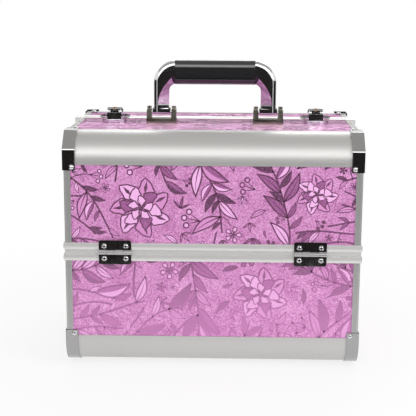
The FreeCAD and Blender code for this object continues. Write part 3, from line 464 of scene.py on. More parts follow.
TO_FRONT, TO_BACK, TO_RIGHT, TO_LEFT, TO_TOP = (0, -1, 0), (0, 1, 0), (1, 0, 0), (-1, 0, 0), (0, 0, 1)
ALONG_X, AGAINST_X, ALONG_Y, AGAINST_Y = (1, 0, 0), (-1, 0, 0), (0, 1, 0), (0, -1, 0)
# name of the print, packed board, where it faces, its level direction, seed,
# and its large blooms: place across and up as shares of the board, and share of the full width of a bloom
BOARDS = (
    ("lid_front_print", "front_lid_front_panel", TO_FRONT, ALONG_X, 11,
     ((-0.25, 0.46, 1.1), (0.36, 0.64, 0.75))),
    ("base_front_print", "base_front_panel", TO_FRONT, ALONG_X, 12, ((0.17, 0.56, 1.0),)),
    ("lid_back_print", "back_lid_back_panel", TO_BACK, AGAINST_X, 13,
     ((0.2, 0.45, 1.1), (-0.36, 0.62, 0.75))),
    ("base_back_print", "base_back_panel", TO_BACK, AGAINST_X, 14, ((-0.2, 0.5, 1.0),)),
    ("front_top_print", "front_lid_top_panel", TO_TOP, ALONG_X, 15, ((0.3, 0.45, 0.8),)),
    ("back_top_print", "back_lid_top_panel", TO_TOP, AGAINST_X, 16, ((-0.05, 0.5, 0.9),)),
    ("lid_front_right_print", "front_lid_side_panels", TO_RIGHT, ALONG_Y, 17, ()),
    ("lid_front_left_print", "front_lid_side_panels", TO_LEFT, AGAINST_Y, 18, ()),
    ("lid_back_right_print", "back_lid_side_panels", TO_RIGHT, ALONG_Y, 19, ()),
    ("lid_back_left_print", "back_lid_side_panels", TO_LEFT, AGAINST_Y, 20, ()),
    ("base_right_print", "base_side_panels", TO_RIGHT, ALONG_Y, 21, ((0.15, 0.55, 1.0),)),
    ("base_left_print", "base_side_panels", TO_LEFT, AGAINST_Y, 22, ((-0.15, 0.55, 1.0),)))
OUTER_PLAY = 0.1 * MM  # corners this close to a board's outermost are on its outer face


def hull(points):
    """The convex outline of flat points, anticlockwise."""
    ordered = sorted(set(points))
    chains = []
    for run in (ordered, ordered[::-1]):
        chain = []
        for p in run:
            while len(chain) > 1 and turn_of(chain[-2], chain[-1], p) <= 1e-12:
                chain.pop()
            chain.append(p)
        chains.append(chain[:-1])
    return chains[0] + chains[1]


def turn_of(a, b, c):
    return (b[0] - a[0]) * (c[1] - a[1]) - (b[1] - a[1]) * (c[0] - a[0])


def board_face(node, facing, level):
    """The frame of a board's outer face and its outline in that frame."""
    out = Vector(facing)
    right = Vector(level)
    rise = out.cross(right)
    points = [v.co for v in frame["nodes"][node].data.vertices]
    reach = max(co.dot(out) for co in points)
    outer = [co for co in points if co.dot(out) > reach - OUTER_PLAY]
    outline = hull([(round(co.dot(right), 6), round(co.dot(rise), 6)) for co in outer])
    place = Matrix((right, rise, out)).transposed().to_4x4()
    place.translation = out * reach
    return place, outline


# foil print: motifs one unit long, from a stalk at the origin towards +Y

LEAF_STEPS = 12
PETAL_STEPS = 16


def two_sides(spread, spine, near=0.0, far=1.0):
    """Left and right edge of a blade, from its half width and its spine at each share of its length."""
    left = []
    right = []
    for n in range(LEAF_STEPS + 1):
        t = n / LEAF_STEPS
        along = near + (far - near) * t
        left.append((spine(t) - spread(t), along))
        right.append((spine(t) + spread(t), along))
    return left, right


def leaf_spine(bend, t):
    return bend * math.sin(math.pi * t * 0.85)


def leaf_sides(bend, width):
    """Left and right edge of a leaf whose spine bends sideways."""
    return two_sides(lambda t: width * math.sin(math.pi * t ** 0.8), lambda t: leaf_spine(bend, t))


def closed(left, right):
    return right + left[-2:0:-1]


def inset(points, width):
    """A closed outline moved inward."""
    moved = []
    count = len(points)
    for n in range(count):
        (ax, ay), (bx, by) = points[n - 1], points[(n + 1) % count]
        length = math.hypot(bx - ax, by - ay) or 1.0
        moved.append((points[n][0] - (by - ay) / length * width, points[n][1] + (bx - ax) / length * width))
    return moved


def edge_band(points, width):
    """Quads along the inside of a closed outline."""
    inner = inset(points, width)
    count = len(points)
    return [
        [points[n], points[(n + 1) % count], inner[(n + 1) % count], inner[n]] for n in range(count)]


def petal(near, far, width, notch):
    """A rounded petal along +Y with a notch in its end, anticlockwise."""
    points = []
    for n in range(PETAL_STEPS):
        angle = 2 * math.pi * n / PETAL_STEPS - math.pi / 2
        along = (near + far) / 2 + (far - near) / 2 * math.sin(angle)
        tip = max(0.0, math.sin(angle)) ** 8
        points.append((width * math.cos(angle) * (0.75 + 0.25 * math.sin(angle)), along - notch * tip))
    return points


def round_about(points, count, offset=0.0):
    """Copies of an outline turned about the origin."""
    copies = []
    for n in range(count):
        angle = 2 * math.pi * (n + offset) / count
        c, s = math.cos(angle), math.sin(angle)
        copies.append([(x * c - y * s, x * s + y * c) for x, y in points])
    return copies


def moved_by(points, x, y):
    return [(px + x, py + y) for px, py in points]


def disc(radius, steps=12):
    return [(radius * math.cos(2 * math.pi * n / steps), radius * math.sin(2 * math.pi * n / steps))
            for n in range(steps)]


def wedge(near, far, width):
    """A slim streak along +Y."""
    middle = near + (far - near) * 0.45
    return [(0, near), (width, middle), (0, far), (-width, middle)]


def bands(outlines, width):
    return [quad for points in outlines for quad in edge_band(points, width)]


def leaf_motif():
    """A veined leaf, as finish, layer and outlines; its mark says which finish its own is."""
    bend = 0.08
    blade = closed(*leaf_sides(bend, 0.16))
    rib = [(leaf_spine(bend, t), t) for t in (0, 0.2, 0.4, 0.6, 0.8)]
    half = 0.022
    vein = [(x + half * (1 - y), y) for x, y in rib] + [(x - half * (1 - y), y) for x, y in rib[::-1]]
    return [("own", 1, [blade]), ("line", 2, edge_band(blade, 0.042)), ("line", 2, [vein])]


def halved_leaf_motif():
    left, right = leaf_sides(0.12, 0.18)
    spine = [((a + b) / 2, y) for (a, y), (b, _) in zip(left, right)]
    near = spine[:1] + right[1:-1] + spine[:0:-1]
    far = spine + left[-2:0:-1]
    return [
        ("own", 1, [near]), ("middle", 1, [far]), ("line", 2, edge_band(closed(left, right), 0.042))]


def blossom_motif():
    petals = round_about(petal(0.09, 0.5, 0.17, 0.03), 5)
    return [
        ("own", 3, petals), ("line", 4, bands(petals, 0.052)), ("dark", 5, [disc(0.1)]),
        ("line", 4, round_about(wedge(0.1, 0.3, 0.02), 5))]


def pointed_petal(near, far, width, bend):
    """A pointed petal along +Y with a wavy edge, widest beyond its middle, anticlockwise."""
    return closed(*two_sides(
        lambda t: width * math.sin(math.pi * t ** 1.3) * (1 + 0.12 * math.sin(5 * math.pi * t)),
        lambda t: bend * math.sin(math.pi * t), near, far))


def rosette_motif():
    """A full bloom: broad pointed petals in three rounds, the upper ones drawn over the lower."""
    outer = round_about(pointed_petal(0.05, 0.5, 0.13, 0.05), 7)
    middle = round_about(pointed_petal(0.03, 0.36, 0.1, -0.04), 6, 0.35)
    inner = round_about(pointed_petal(0.0, 0.22, 0.07, 0.03), 5, 0.2)
    streaks = round_about(moved_by(wedge(0.24, 0.45, 0.028), 0.03, 0), 7)
    return [
        ("pale", 3, outer[0::2]), ("petal", 3, outer[1::2]), ("line", 4, bands(outer, 0.02)),
        ("dark", 4, streaks), ("petal", 5, middle[0::2]), ("middle", 5, middle[1::2]),
        ("line", 6, bands(middle, 0.02)), ("petal", 7, inner), ("line", 8, bands(inner, 0.018)),
        ("dark", 9, [disc(0.035)])]


def bud_motif():
    cup = petal(0.2, 1.0, 0.3, 0.22)
    sepals = round_about(wedge(0.0, 0.55, 0.09), 12, 1.0)
    return [
        ("own", 3, [cup]), ("line", 4, edge_band(cup, 0.07)),
        ("dark", 5, [sepals[0], sepals[10], wedge(0.0, 0.5, 0.1)])]


def berry_motif():
    places = ((-0.36, 0.62), (0.0, 0.8), (0.36, 0.62))
    berries = [moved_by(disc(0.17), x, y) for x, y in places]
    stalks = [[(-0.03, 0.0), (0.03, 0.0), (x * 0.6 + 0.02, y * 0.75), (x * 0.6 - 0.02, y * 0.75)]
              for x, y in places]
    return [("own", 3, berries), ("line", 4, bands(berries, 0.07)), ("line", 1, stalks)]


def sprig_motif():
    """Three slim leaves from one point, as a filler."""
    slim = closed(*leaf_sides(0.0, 0.13))
    fan = [slim, *round_about([(x * 0.8, y * 0.8) for x, y in slim], 7)[1::5]]
    return [("own", 1, fan), ("line", 2, bands(fan, 0.07))]


MOTIFS = {
    "leaf": leaf_motif, "halved_leaf": halved_leaf_motif, "blossom": blossom_motif,
    "rosette": rosette_motif, "bud": bud_motif, "berries": berry_motif, "sprig": sprig_motif}


# foil print: layout

VINE_WAVE = 95 * MM         # length of one swing of a vine
VINE_STEP = 2 * MM
VINE_ROOM = 5 * MM          # a vine stops this far from what is already there
VINE_HALF = 0.6 * MM        # half the width that is kept free along a vine
VINE_LENGTHS = (70, 170)    # shortest and longest, in millimetres
VINE_SHARE = 2.5            # vines begun on each square of the vine spacing
TWIG_STEPS = 8
TWIG_LENGTHS = (12, 21)     # shortest and longest, in millimetres
TWIG_CHANCE = 0.4           # how often a twig grows where a leaf could
LARGE_FILL = (500, 17, 23)  # tries, and smallest and largest size in millimetres
SMALL_FILL = (1400, 9, 15)


class Layout:
    """Where the stems and motifs of one board go, worked out from a seed."""

    def __init__(self, outline, seed):
        self.draw = random.Random(seed)
        across = [p[0] for p in outline]
        up = [p[1] for p in outline]
        self.low = (min(across), min(up))
        self.span = (max(across) - min(across), max(up) - min(up))
        self.taken = []
        self.vines = []
        self.stems = {}
        self.marks = {}

    def free(self, circles):
        return all(
            math.hypot(u - a, v - b) > r + c for u, v, r in circles for a, b, c in self.taken)

    def put(self, motif, finish, u, v, angle, size, circles):
        self.taken += circles
        self.marks.setdefault((motif, finish), []).append((u, v, angle - math.pi / 2, size))

    def stem(self, points, width):
        self.stems.setdefault(width, []).append(points)

    def try_leaf(self, u, v, angle, size, motif=None):
        """A leaf with its stalk at a place, if there is room for it."""
        circles = [
            (u + math.cos(angle) * size * t, v + math.sin(angle) * size * t, size * 0.14)
            for t in (0.4, 0.62, 0.85)]
        if not self.free(circles):
            return False
        kind = motif or self.draw.choices(("leaf", "halved_leaf"), (7, 3))[0]
        finish = self.draw.choices(("pale", "middle", "dark", "petal"), (4, 9, 8, 6))[0]
        if kind == "halved_leaf" and finish == "middle":
            finish = "petal"
        self.put(kind, finish, u, v, angle, size, circles)
        return True

    def bloom(self, u, v, width):
        """A large rosette, placed before anything grows round it."""
        angle = self.draw.uniform(0, math.pi)
        self.put("rosette", "petal", u, v, angle, width, [(u, v, width * 0.5)])

    def twig(self, u, v, angle, reach):
        """A curved twig that ends in a blossom, a bud or berries, with a small leaf on it."""
        bend = self.draw.uniform(0.3, 0.75) * self.draw.choice((-1, 1))
        points = []
        for n in range(TWIG_STEPS + 1):
            t = n / TWIG_STEPS
            way = angle + bend * t
            points.append((u + math.cos(way) * reach * t, v + math.sin(way) * reach * t))
        end = points[-1]
        final = math.atan2(end[1] - points[-2][1], end[0] - points[-2][0])
        motif = self.draw.choices(("blossom", "bud", "berries"), (6, 2, 2))[0]
        size = sizes().blossom * (self.draw.uniform(0.85, 1.2) if motif == "blossom" else 0.72)
        centre = (end[0] + math.cos(final) * size * 0.5, end[1] + math.sin(final) * size * 0.5)
        circles = [(*centre, size * 0.5), (*points[5], 1.5 * MM)]
        if not self.free(circles):
            return False
        spot = centre if motif == "blossom" else end
        finish = self.draw.choices(("petal", "pale", "middle"), (5, 3, 2))[0]
        self.put(motif, finish, *spot, final, size, circles)
        self.stem(points, sizes().stem * 0.55)
        self.try_leaf(*points[4], final + self.draw.choice((-1, 1)) * 0.9, reach * 0.45, "leaf")
        return True

    def inside(self, u, v):
        low, span = self.low, self.span
        return low[0] <= u <= low[0] + span[0] and low[1] <= v <= low[1] + span[1]

    def vine(self, u, v, heading, length):
        """A main stem that wanders from the edge of the board until it meets another or leaves."""
        curl = self.draw.uniform(-0.011, 0.011) / MM  # radians on each millimetre
        swing = self.draw.uniform(0.006, 0.014) / MM
        phase = self.draw.uniform(0, 2 * math.pi)
        points = []
        travel = 0.0
        while travel < length and self.inside(u, v) and self.free([(u, v, VINE_ROOM)]):
            points.append((u, v))
            heading += (curl + swing * math.sin(2 * math.pi * travel / VINE_WAVE + phase)) * VINE_STEP
            u += math.cos(heading) * VINE_STEP
            v += math.sin(heading) * VINE_STEP
            travel += VINE_STEP
        if len(points) > 8:
            self.stem(points, sizes().stem)
            self.taken += [(a, b, VINE_HALF) for a, b in points[::2]]
            self.vines.append(points)

    def grow(self):
        """Leaves and twigs on both sides of every vine."""
        for points in self.vines:
            side = self.draw.choice((-1, 1))
            at = self.draw.randint(1, 4)
            while at < len(points) - 1:
                (ax, ay), (bx, by) = points[at], points[at + 1]
                along = math.atan2(by - ay, bx - ax)
                lean = self.draw.uniform(0.5, 1.05)
                size = sizes().leaf * self.draw.uniform(0.75, 1.35)
                for way in (side, -side):
                    grown = False
                    if self.draw.random() < TWIG_CHANCE:
                        reach = self.draw.uniform(*TWIG_LENGTHS) * MM
                        grown = self.twig(ax, ay, along + way * (lean + 0.25), reach)
                    grown = grown or self.try_leaf(ax, ay, along + way * lean, size)
                    grown = grown or self.try_leaf(ax, ay, along + way * lean, size * 0.55, "leaf")
                side = -side
                at += self.draw.randint(3, 6)

    def fill(self, tries, smallest, largest):
        """Small loose motifs wherever there is still room."""
        for _ in range(tries):
            u = self.low[0] + self.draw.random() * self.span[0]
            v = self.low[1] + self.draw.random() * self.span[1]
            angle = self.draw.uniform(0, 2 * math.pi)
            size = self.draw.uniform(smallest, largest) * MM
            motif = self.draw.choices(("sprig", "blossom", "berries", "leaf"), (4, 3, 2, 3))[0]
            along = 0.0 if motif == "blossom" else 0.5
            centre = (u + math.cos(angle) * size * along, v + math.sin(angle) * size * along)
            circles = [(*centre, size * 0.52)]
            if self.free(circles):
                finish = self.draw.choices(("pale", "middle", "dark", "petal"), (3, 5, 5, 4))[0]
                self.put(motif, finish, u, v, angle, size, circles)


def lay_out(outline, seed, blooms):
    """Blooms first, then vines from the board's edges, then what grows on them and between them."""
    plan = Layout(outline, seed)
    for across, up, share in blooms:
        plan.bloom(across * plan.span[0], plan.low[1] + up * plan.span[1], sizes().rosette * share)
    wide, high = plan.span
    for _ in range(round(VINE_SHARE * wide * high / sizes().row ** 2)):
        across = plan.low[0] + wide * plan.draw.random()
        up = plan.low[1] + high * plan.draw.random()
        begin, heading = plan.draw.choice((
            ((plan.low[0], up), 0.0), ((plan.low[0] + wide, up), math.pi),
            ((across, plan.low[1]), math.pi / 2), ((across, plan.low[1] + high), -math.pi / 2)))
        plan.vine(*begin, heading + plan.draw.uniform(-0.7, 0.7), plan.draw.uniform(*VINE_LENGTHS) * MM)
    plan.grow()
    plan.fill(*LARGE_FILL)
    plan.fill(*SMALL_FILL)
    return plan


# foil print: node trees

def new_tree(name, inputs):
    """An empty geometry tree with named inputs, and the sockets that hand them on."""
    tree = bpy.data.node_groups.new(name, "GeometryNodeTree")
    tree.interface.new_socket("Geometry", in_out="INPUT", socket_type="NodeSocketGeometry")
    for label, kind in inputs:
        tree.interface.new_socket(label, in_out="INPUT", socket_type=kind)
    tree.interface.new_socket("Geometry", in_out="OUTPUT", socket_type="NodeSocketGeometry")
    return tree, add(tree, "NodeGroupInput").outputs


def close_tree(tree, geometry, finish):
    """Ends a tree with real meshes in one finish."""
    real = add(tree, "GeometryNodeRealizeInstances", {"Geometry": geometry})
    made = add(tree, "GeometryNodeSetMaterial", {"Geometry": real, "Material": finish})
    add(tree, "NodeGroupOutput", {"Geometry": made})
    return tree


def motif_tree():
    """Sets a flat motif on each mark, turned and sized by the mark's own values."""
    tree, given = new_tree(
        "Motif on marks", (("Motif", "NodeSocketObject"), ("Finish", "NodeSocketMaterial")))
    shape = add(tree, "GeometryNodeObjectInfo", {"Object": given["Motif"]})
    turn = add(tree, "GeometryNodeInputNamedAttribute", {"Name": "turn"}, data_type="FLOAT")
    size = add(tree, "GeometryNodeInputNamedAttribute", {"Name": "size"}, data_type="FLOAT")
    spin = add(tree, "ShaderNodeCombineXYZ", {"Z": turn})
    placed = add(tree, "GeometryNodeInstanceOnPoints", {
        "Points": given["Geometry"], "Instance": shape.outputs["Geometry"],
        "Rotation": spin, "Scale": size})
    return close_tree(tree, placed, given["Finish"])


def stem_tree():
    """Lays a flat ribbon along each line."""
    tree, given = new_tree(
        "Ribbon along stem", (("Width", "NodeSocketFloat"), ("Finish", "NodeSocketMaterial")))
    line = add(tree, "GeometryNodeMeshToCurve", {"Mesh": given["Geometry"]})
    level = add(tree, "GeometryNodeSetCurveNormal", {"Curve": line}, mode="Z_UP")
    half = add(tree, "ShaderNodeMath", {0: given["Width"], 1: 0.5}, operation="MULTIPLY")
    minus = add(tree, "ShaderNodeMath", {0: half, 1: -1.0}, operation="MULTIPLY")
    near = add(tree, "ShaderNodeCombineXYZ", {"X": minus})
    far = add(tree, "ShaderNodeCombineXYZ", {"X": half})
    section = add(tree, "GeometryNodeCurvePrimitiveLine", {"Start": near, "End": far})
    ribbon = add(tree, "GeometryNodeCurveToMesh", {"Curve": level, "Profile Curve": section})
    return close_tree(tree, ribbon, given["Finish"])


def run_tree(tree, mesh, values):
    """The plain mesh that a tree makes from a mesh."""
    source = linked("print_source", mesh)
    modifier = source.modifiers.new("Print", "NODES")
    modifier.node_group = tree
    sockets = {s.name: s.identifier for s in tree.interface.items_tree if s.in_out == "INPUT"}
    for label, value in values.items():
        modifier[sockets[label]] = value
    return evaluated_mesh(source)


def flat_mesh(name, outlines):
    points = []
    faces = []
    for outline in outlines:
        start = len(points)
        points += [(x, y, 0.0) for x, y in outline]
        faces.append(tuple(range(start, len(points))))
    mesh = bpy.data.meshes.new(name)
    mesh.from_pydata(points, [], faces)
    return mesh


def marks_mesh(marks):
    """Marks as loose points that carry their turn and size, each a hair higher than the last."""
    hair = 0.0004 * MM
    mesh = bpy.data.meshes.new("print_marks")
    mesh.from_pydata([(u, v, n * hair) for n, (u, v, _, _) in enumerate(marks)], [], [])
    mesh.attributes.new("turn", "FLOAT", "POINT").data.foreach_set("value", [m[2] for m in marks])
    mesh.attributes.new("size", "FLOAT", "POINT").data.foreach_set("value", [m[3] for m in marks])
    return mesh


def lines_mesh(lines):
    points = []
    edges = []
    for line in lines:
        start = len(points)
        points += [(u, v, 0.0) for u, v in line]
        edges += [(n, n + 1) for n in range(start, len(points) - 1)]
    mesh = bpy.data.meshes.new("print_lines")
    mesh.from_pydata(points, edges, [])
    return mesh


SUNK = 0.05 * MM    # how far the print goes into the board
LAYER = 0.03 * MM   # from one layer of the print to the next
JOIN = 0.0001 * MM  # corners of the print closer than this are one


def press(flat, outline, height, place, index, target):
    """Trims a flat print at the board's outline, gives it its relief and adds it to a piece."""
    shape = bmesh.new()
    shape.from_mesh(flat)
    bmesh.ops.remove_doubles(shape, verts=shape.verts, dist=JOIN)
    for n, (ax, ay) in enumerate(outline):
        bx, by = outline[(n + 1) % len(outline)]
        geometry = shape.verts[:] + shape.edges[:] + shape.faces[:]
        bmesh.ops.bisect_plane(
            shape, geom=geometry, plane_co=(ax, ay, 0), plane_no=(by - ay, ax - bx, 0), clear_outer=True)
    if shape.faces:
        grown = bmesh.ops.extrude_face_region(shape, geom=shape.faces[:])
        raised = [item for item in grown["geom"] if isinstance(item, bmesh.types.BMVert)]
        bmesh.ops.translate(shape, verts=raised, vec=(0, 0, height + SUNK))
        bmesh.ops.translate(shape, verts=shape.verts, vec=(0, 0, -SUNK))
        bmesh.ops.recalc_face_normals(shape, faces=shape.faces)
        for face in shape.faces:
            face.material_index = index
        bmesh.ops.transform(shape, matrix=place, verts=shape.verts)
        part = bpy.data.meshes.new("print_part")
        shape.to_mesh(part)
        target.from_mesh(part)
        bpy.data.meshes.remove(part)
    shape.free()


def print_board(name, node, facing, level, seed, blooms, trees, motifs, finishes):
    """The whole print of one board as one piece."""
    place, outline = board_face(node, facing, level)
    plan = lay_out(outline, seed, blooms)
    order = list(finishes)
    target = bmesh.new()
    relief = sizes().relief
    for width, lines in plan.stems.items():
        flat = run_tree(trees["stem"], lines_mesh(lines), {"Width": width, "Finish": finishes["line"]})
        press(flat, outline, relief, place, order.index("line"), target)
    for (motif, own), marks in plan.marks.items():
        for finish, layer, shape in motifs[motif]:
            used = own if finish == "own" else finish
            flat = run_tree(trees["motif"], marks_mesh(marks), {"Motif": shape, "Finish": finishes[used]})
            press(flat, outline, relief + layer * LAYER, place, order.index(used), target)
    mesh = bpy.data.meshes.new(name)
    for finish in order:
        mesh.materials.append(finishes[finish])
    target.to_mesh(mesh)
    target.free()
    piece_from(name, mesh, body_of(node))


# operators

PANELS = [node for node in frame["nodes"] if node.endswith(("_panel", "_panels"))]
LIDS = ("front_lid", "back_lid")
OWNERS = ("base", *LIDS)
HALVES = ("front", "back")
LATCH_SIDES = ("left", "right")


class CASE_OT_boards(bpy.types.Operator):
    """Cover every board with glittering foil"""
    bl_idname = "case.boards"
    bl_label = "Foil boards"

    def execute(self, context):
        foil = glitter_foil("glitter_foil_laminate")
        outer_side = max(v.co.x for v in frame["nodes"]["base_side_panels"].data.vertices)
        side_foil = glitter_foil("glitter_foil_on_side_boards", outer_side)
        for node in PANELS:
            dress(node, side_foil if node.endswith("_side_panels") else foil)
        return {"FINISHED"}


class CASE_OT_print(bpy.types.Operator):
    """Stamp the leaf and blossom print on the outside of the boards"""
    bl_idname = "case.print"
    bl_label = "Foil print"

    def execute(self, context):
        finishes = print_materials()
        trees = {"motif": motif_tree(), "stem": stem_tree()}
        motifs = {}
        for name, build in MOTIFS.items():
            label = "motif_" + name
            motifs[name] = [
                (finish, layer, bpy.data.objects.new(label, flat_mesh(label, outlines)))
                for finish, layer, outlines in build()]
        for board in BOARDS:
            print_board(*board, trees, motifs, finishes)
        for parts in motifs.values():
            for _, _, shape in parts:
                bpy.data.objects.remove(shape)
        return {"FINISHED"}


class CASE_OT_frame_bars(bpy.types.Operator):
    """Finish the aluminium rims, rounded edges and corner angles"""
    bl_idname = "case.frame_bars"
    bl_label = "Aluminium frame"

    def execute(self, context):
        level = satin_aluminium("satin_aluminium_level", colours().aluminium, 0)
        rim = satin_aluminium("satin_aluminium_rim", colours().rim, 0)
        upright = satin_aluminium("satin_aluminium_upright", colours().angle, 2)
        polished = mirror_plate("polished_aluminium", colours().aluminium, 0.06, 0.14)
        ease = sizes().ease
        for node in EDGE_BARS:
            dress(node, level)
        for owner in OWNERS:
            eased_copy(owner + "_rim", rim, ease, polished if owner in LIDS else None)
            eased_copy(owner + "_corner_angles", upright, ease * 0.5)
        return {"FINISHED"}


class CASE_OT_hardware(bpy.types.Operator):
    """Finish the corner caps, hinges, screws and rivets"""
    bl_idname = "case.hardware"
    bl_label = "Caps, hinges, fasteners"

    def execute(self, context):
        chrome = chrome_plate()
        nickel = mirror_plate("nickel_plate", colours().nickel, 0.14, 0.24)
        bright = mirror_plate("bright_nickel_plate", colours().bright_nickel, 0.05, 0.12)
        dress("hinge_pins", chrome)
        for owner in OWNERS:
            eased_copy(owner + "_corner_caps", nickel if owner == "base" else bright, sizes().ease)
            eased_copy(owner + "_hinge_leaves", bright, sizes().ease)
            dress(owner + "_screws_and_rivets", chrome)
        return {"FINISHED"}


class CASE_OT_handle(bpy.types.Operator):
    """Finish the handle bow, its grip, brackets and pins"""
    bl_idname = "case.handle"
    bl_label = "Handle"

    def execute(self, context):
        chrome = chrome_plate()
        dress("handle_bow", chrome)
        dress("handle_pins", chrome)
        # soft nickel plate whose olive tint is a painted reflection
        soft = mirror_plate("soft_nickel_painted_olive", colours().bracket, 0.12, 0.19)
        eased_copy("handle_brackets", soft, sizes().ease)
        dress("handle_grip", gloss_grip())
        return {"FINISHED"}


class CASE_OT_latches(bpy.types.Operator):
    """Finish the two catches with their levers, keepers and lock plugs"""
    bl_idname = "case.latches"
    bl_label = "Catches"

    def execute(self, context):
        chrome = chrome_plate()
        brass = turned_brass()
        eased_copy("latch_housings", chrome, sizes().ease)
        eased_copy("latch_keepers", chrome, sizes().ease)
        for side in LATCH_SIDES:
            eased_copy(side + "_latch_lever", chrome, sizes().ease)
            dress(side + "_lock_plug", brass)
        return {"FINISHED"}


class CASE_OT_inside(bpy.types.Operator):
    """Finish the lining, trays, dividers, arms, stays and studs"""
    bl_idname = "case.inside"
    bl_label = "Lining and trays"

    def execute(self, context):
        flock = flocked_lining()
        plastic = tray_plastic()
        zinc = zinc_plate()
        for owner in OWNERS:
            eased_copy(owner + "_lining", flock, sizes().ease * 3)
        for node in EDGE_BARS:
            lining_strip(node, flock)
        for half in HALVES:
            for level in ("lower", "upper"):
                eased_copy(half + "_" + level + "_tray", plastic, sizes().ease)
                eased_copy(half + "_" + level + "_dividers", plastic, sizes().ease)
            for link in ("outer_arms", "inner_arms", "lid_stays"):
                dress(half + "_" + link, zinc)
        dress("arm_pivot_studs", zinc)
        return {"FINISHED"}


class CASE_OT_feet(bpy.types.Operator):
    """Finish the rubber feet"""
    bl_idname = "case.feet"
    bl_label = "Feet"

    def execute(self, context):
        dress("feet", foot_rubber())
        return {"FINISHED"}


# stage

CAMERA_PLACE = (18.56 * MM, -1233.6 * MM, 415.4 * MM)
CAMERA_TURN = 0.0212   # radians about the upright
CAMERA_DIP = 0.2053    # radians below level
CAMERA_ROLL = 0.0057   # radians about the view
CAMERA_LENS = 92.25    # millimetres
CAMERA_SENSOR = 36.0   # millimetres across
FLOOR_SIZE = 80.0      # metres, like the lengths below
WHITE_FROM = 0.25      # from the middle to where the floor starts to turn white
WHITE_BEYOND = 0.6     # and to where it is plain white
WHITE_LEAST = 0.8      # share of plain white under the case
CARD_DISTANCE = 0.50
CARD_LOW = 0.002
CARD_HIGH = 0.34
CARD_WIDTH = 0.80
CEILING_HEIGHT = 1.0
CEILING_REACH = 0.7
LAMP_TARGET = (0, 0, 0.15)
# name, place, width, height, and power in watts
LAMPS = (
    ("key_lamp", (-0.4, -2.3, 1.25), 3.0, 1.4, 20),
    ("fill_lamp", (1.5, -1.2, 1.1), 1.2, 1.2, 12),
    ("rear_lamp", (0.3, 1.8, 1.7), 1.6, 0.9, 14))
ROOM_LIGHT = 0.72      # strength of the world where it lights the case


def seen_directly(tree):
    """One for rays from the camera, from mirrors and through glass."""
    path = add(tree, "ShaderNodeLightPath").outputs
    seen = path["Is Camera Ray"]
    for other in ("Is Glossy Ray", "Is Transmission Ray"):
        seen = add(tree, "ShaderNodeMath", {0: seen, 1: path[other]}, operation="MAXIMUM")
    return seen


def pale_floor():
    """Matte paper sweep that keeps the soft shadow and is near white to the eye."""
    material, tree = bare_material("paper_sweep")
    paper = add(tree, "ShaderNodeBsdfDiffuse", {"Color": linear("#F4F4F4")})
    white = add(tree, "ShaderNodeEmission", {"Strength": 1.0})
    place = add(tree, "ShaderNodeTexCoord").outputs["Object"]
    away = add(tree, "ShaderNodeVectorMath", {0: place}, operation="LENGTH").outputs["Value"]
    whiter = add(tree, "ShaderNodeMapRange", {
        "Value": away, "From Min": WHITE_FROM, "From Max": WHITE_BEYOND,
        "To Min": WHITE_LEAST, "To Max": 1.0})
    share = add(tree, "ShaderNodeMath", {0: seen_directly(tree), 1: whiter}, operation="MULTIPLY")
    mixed = add(tree, "ShaderNodeMixShader", {0: share, 1: paper, 2: white})
    add(tree, "ShaderNodeOutputMaterial", {"Surface": mixed})
    return material


def dark_card():
    """Black card that gives bright metal something dark to mirror."""
    return start_material("black_card", {"Base Color": linear("#1A1715"), "Roughness": 0.9})[0]


def grey_card():
    """Grey card overhead, so that upward metal doesn't mirror plain white."""
    material, tree = bare_material("grey_card")
    glow = add(tree, "ShaderNodeEmission", {"Color": linear("#B4B4B2"), "Strength": 1.0})
    add(tree, "ShaderNodeOutputMaterial", {"Surface": glow})
    return material


def mirrored_only(card):
    """Keeps a card out of sight of everything but mirrors."""
    card.visible_camera = False
    card.visible_diffuse = False
    card.visible_shadow = False
    card.visible_transmission = False


def corners(wide, low, high):
    """Corners of a rectangle from half its width and its two other sides."""
    return (-wide, low), (wide, low), (wide, high), (-wide, high)


def rectangle(name, points, material):
    mesh = bpy.data.meshes.new(name)
    mesh.from_pydata(points, [], [(0, 1, 2, 3)])
    mesh.materials.append(material)
    obj = linked(name, mesh)
    return obj


def soft_lamp(name, place, width, height, watts):
    lamp = bpy.data.lights.new(name, "AREA")
    lamp.shape = "RECTANGLE"
    lamp.size = width
    lamp.size_y = height
    lamp.energy = watts
    stand = linked(name, lamp)
    stand.location = place
    stand.rotation_euler = (Vector(LAMP_TARGET) - Vector(place)).to_track_quat("-Z", "Y").to_euler()


def white_room(scene):
    """A world that is plain white where it is seen, and a little dimmer where it lights the case."""
    scene.world = bpy.data.worlds.new("studio_white")
    scene.world.use_nodes = True
    tree = scene.world.node_tree
    tree.nodes.clear()
    white = linear("#FFFFFF")
    light = add(tree, "ShaderNodeBackground", {"Color": white, "Strength": ROOM_LIGHT})
    shown = add(tree, "ShaderNodeBackground", {"Color": white, "Strength": 1.0})
    mixed = add(tree, "ShaderNodeMixShader", {0: seen_directly(tree), 1: light, 2: shown})
    add(tree, "ShaderNodeOutputWorld", {"Surface": mixed})


def photo_camera(scene):
    """The camera, where the photograph was taken from."""
    camera = linked("camera", bpy.data.cameras.new("camera"))
    camera.data.lens = CAMERA_LENS
    camera.data.sensor_width = CAMERA_SENSOR
    camera.data.clip_end = 100.0
    aim = Matrix.Rotation(CAMERA_TURN, 4, "Z") @ Matrix.Rotation(math.pi / 2 - CAMERA_DIP, 4, "X")
    camera.matrix_world = Matrix.Translation(CAMERA_PLACE) @ aim @ Matrix.Rotation(CAMERA_ROLL, 4, "Z")
    scene.camera = camera


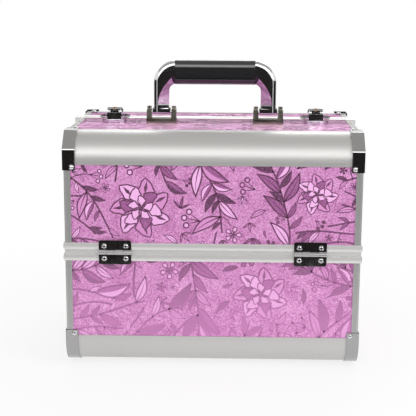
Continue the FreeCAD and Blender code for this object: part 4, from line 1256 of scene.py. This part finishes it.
class CASE_OT_stage(bpy.types.Operator):
    """Set the floor, cards, lamps, world and camera"""
    bl_idname = "case.stage"
    bl_label = "Studio"

    def execute(self, context):
        half = FLOOR_SIZE / 2
        rectangle("floor", [(x, y, 0) for x, y in corners(half, -half, half)], pale_floor())
        black = dark_card()
        for n in range(4):
            turn = Matrix.Rotation(math.pi / 2 * n, 4, "Z")
            upright = corners(CARD_WIDTH / 2, CARD_LOW, CARD_HIGH)
            points = [turn @ Vector((x, -CARD_DISTANCE, z)) for x, z in upright]
            mirrored_only(rectangle("card_%d" % n, points, black))
        level = corners(2 * CEILING_REACH, -CEILING_REACH, CEILING_REACH)
        mirrored_only(rectangle("ceiling", [(x, y, CEILING_HEIGHT) for x, y in level], grey_card()))
        for lamp in LAMPS:
            soft_lamp(*lamp)
        white_room(context.scene)
        photo_camera(context.scene)
        context.scene.view_settings.view_transform = "Standard"
        return {"FINISHED"}


OPERATORS = (
    CASE_OT_boards, CASE_OT_print, CASE_OT_frame_bars, CASE_OT_hardware, CASE_OT_handle,
    CASE_OT_latches, CASE_OT_inside, CASE_OT_feet, CASE_OT_stage)


class CASE_PT_panel(bpy.types.Panel):
    """Lists the steps of dressing the case"""
    bl_idname = "CASE_PT_panel"
    bl_label = "Train case"
    bl_space_type = "VIEW_3D"
    bl_region_type = "UI"
    bl_category = "Train case"

    def draw(self, context):
        for operator in OPERATORS:
            self.layout.operator(operator.bl_idname, text=operator.bl_label)
        for group in (context.scene.case_colours, context.scene.case_sizes):
            for key in group.bl_rna.properties.keys():
                if key not in ("rna_type", "name"):
                    self.layout.prop(group, key)


CLASSES = (CaseColours, CaseSizes, *OPERATORS, CASE_PT_panel)


def register():
    for item in CLASSES:
        bpy.utils.register_class(item)
    bpy.types.Scene.case_colours = bpy.props.PointerProperty(type=CaseColours)
    bpy.types.Scene.case_sizes = bpy.props.PointerProperty(type=CaseSizes)


def unregister():
    del bpy.types.Scene.case_sizes
    del bpy.types.Scene.case_colours
    for item in reversed(CLASSES):
        bpy.utils.unregister_class(item)


def main():
    register()
    for operator in OPERATORS:
        group, name = operator.bl_idname.split(".")
        getattr(getattr(bpy.ops, group), name)()


if __name__ == "__main__":
    main()
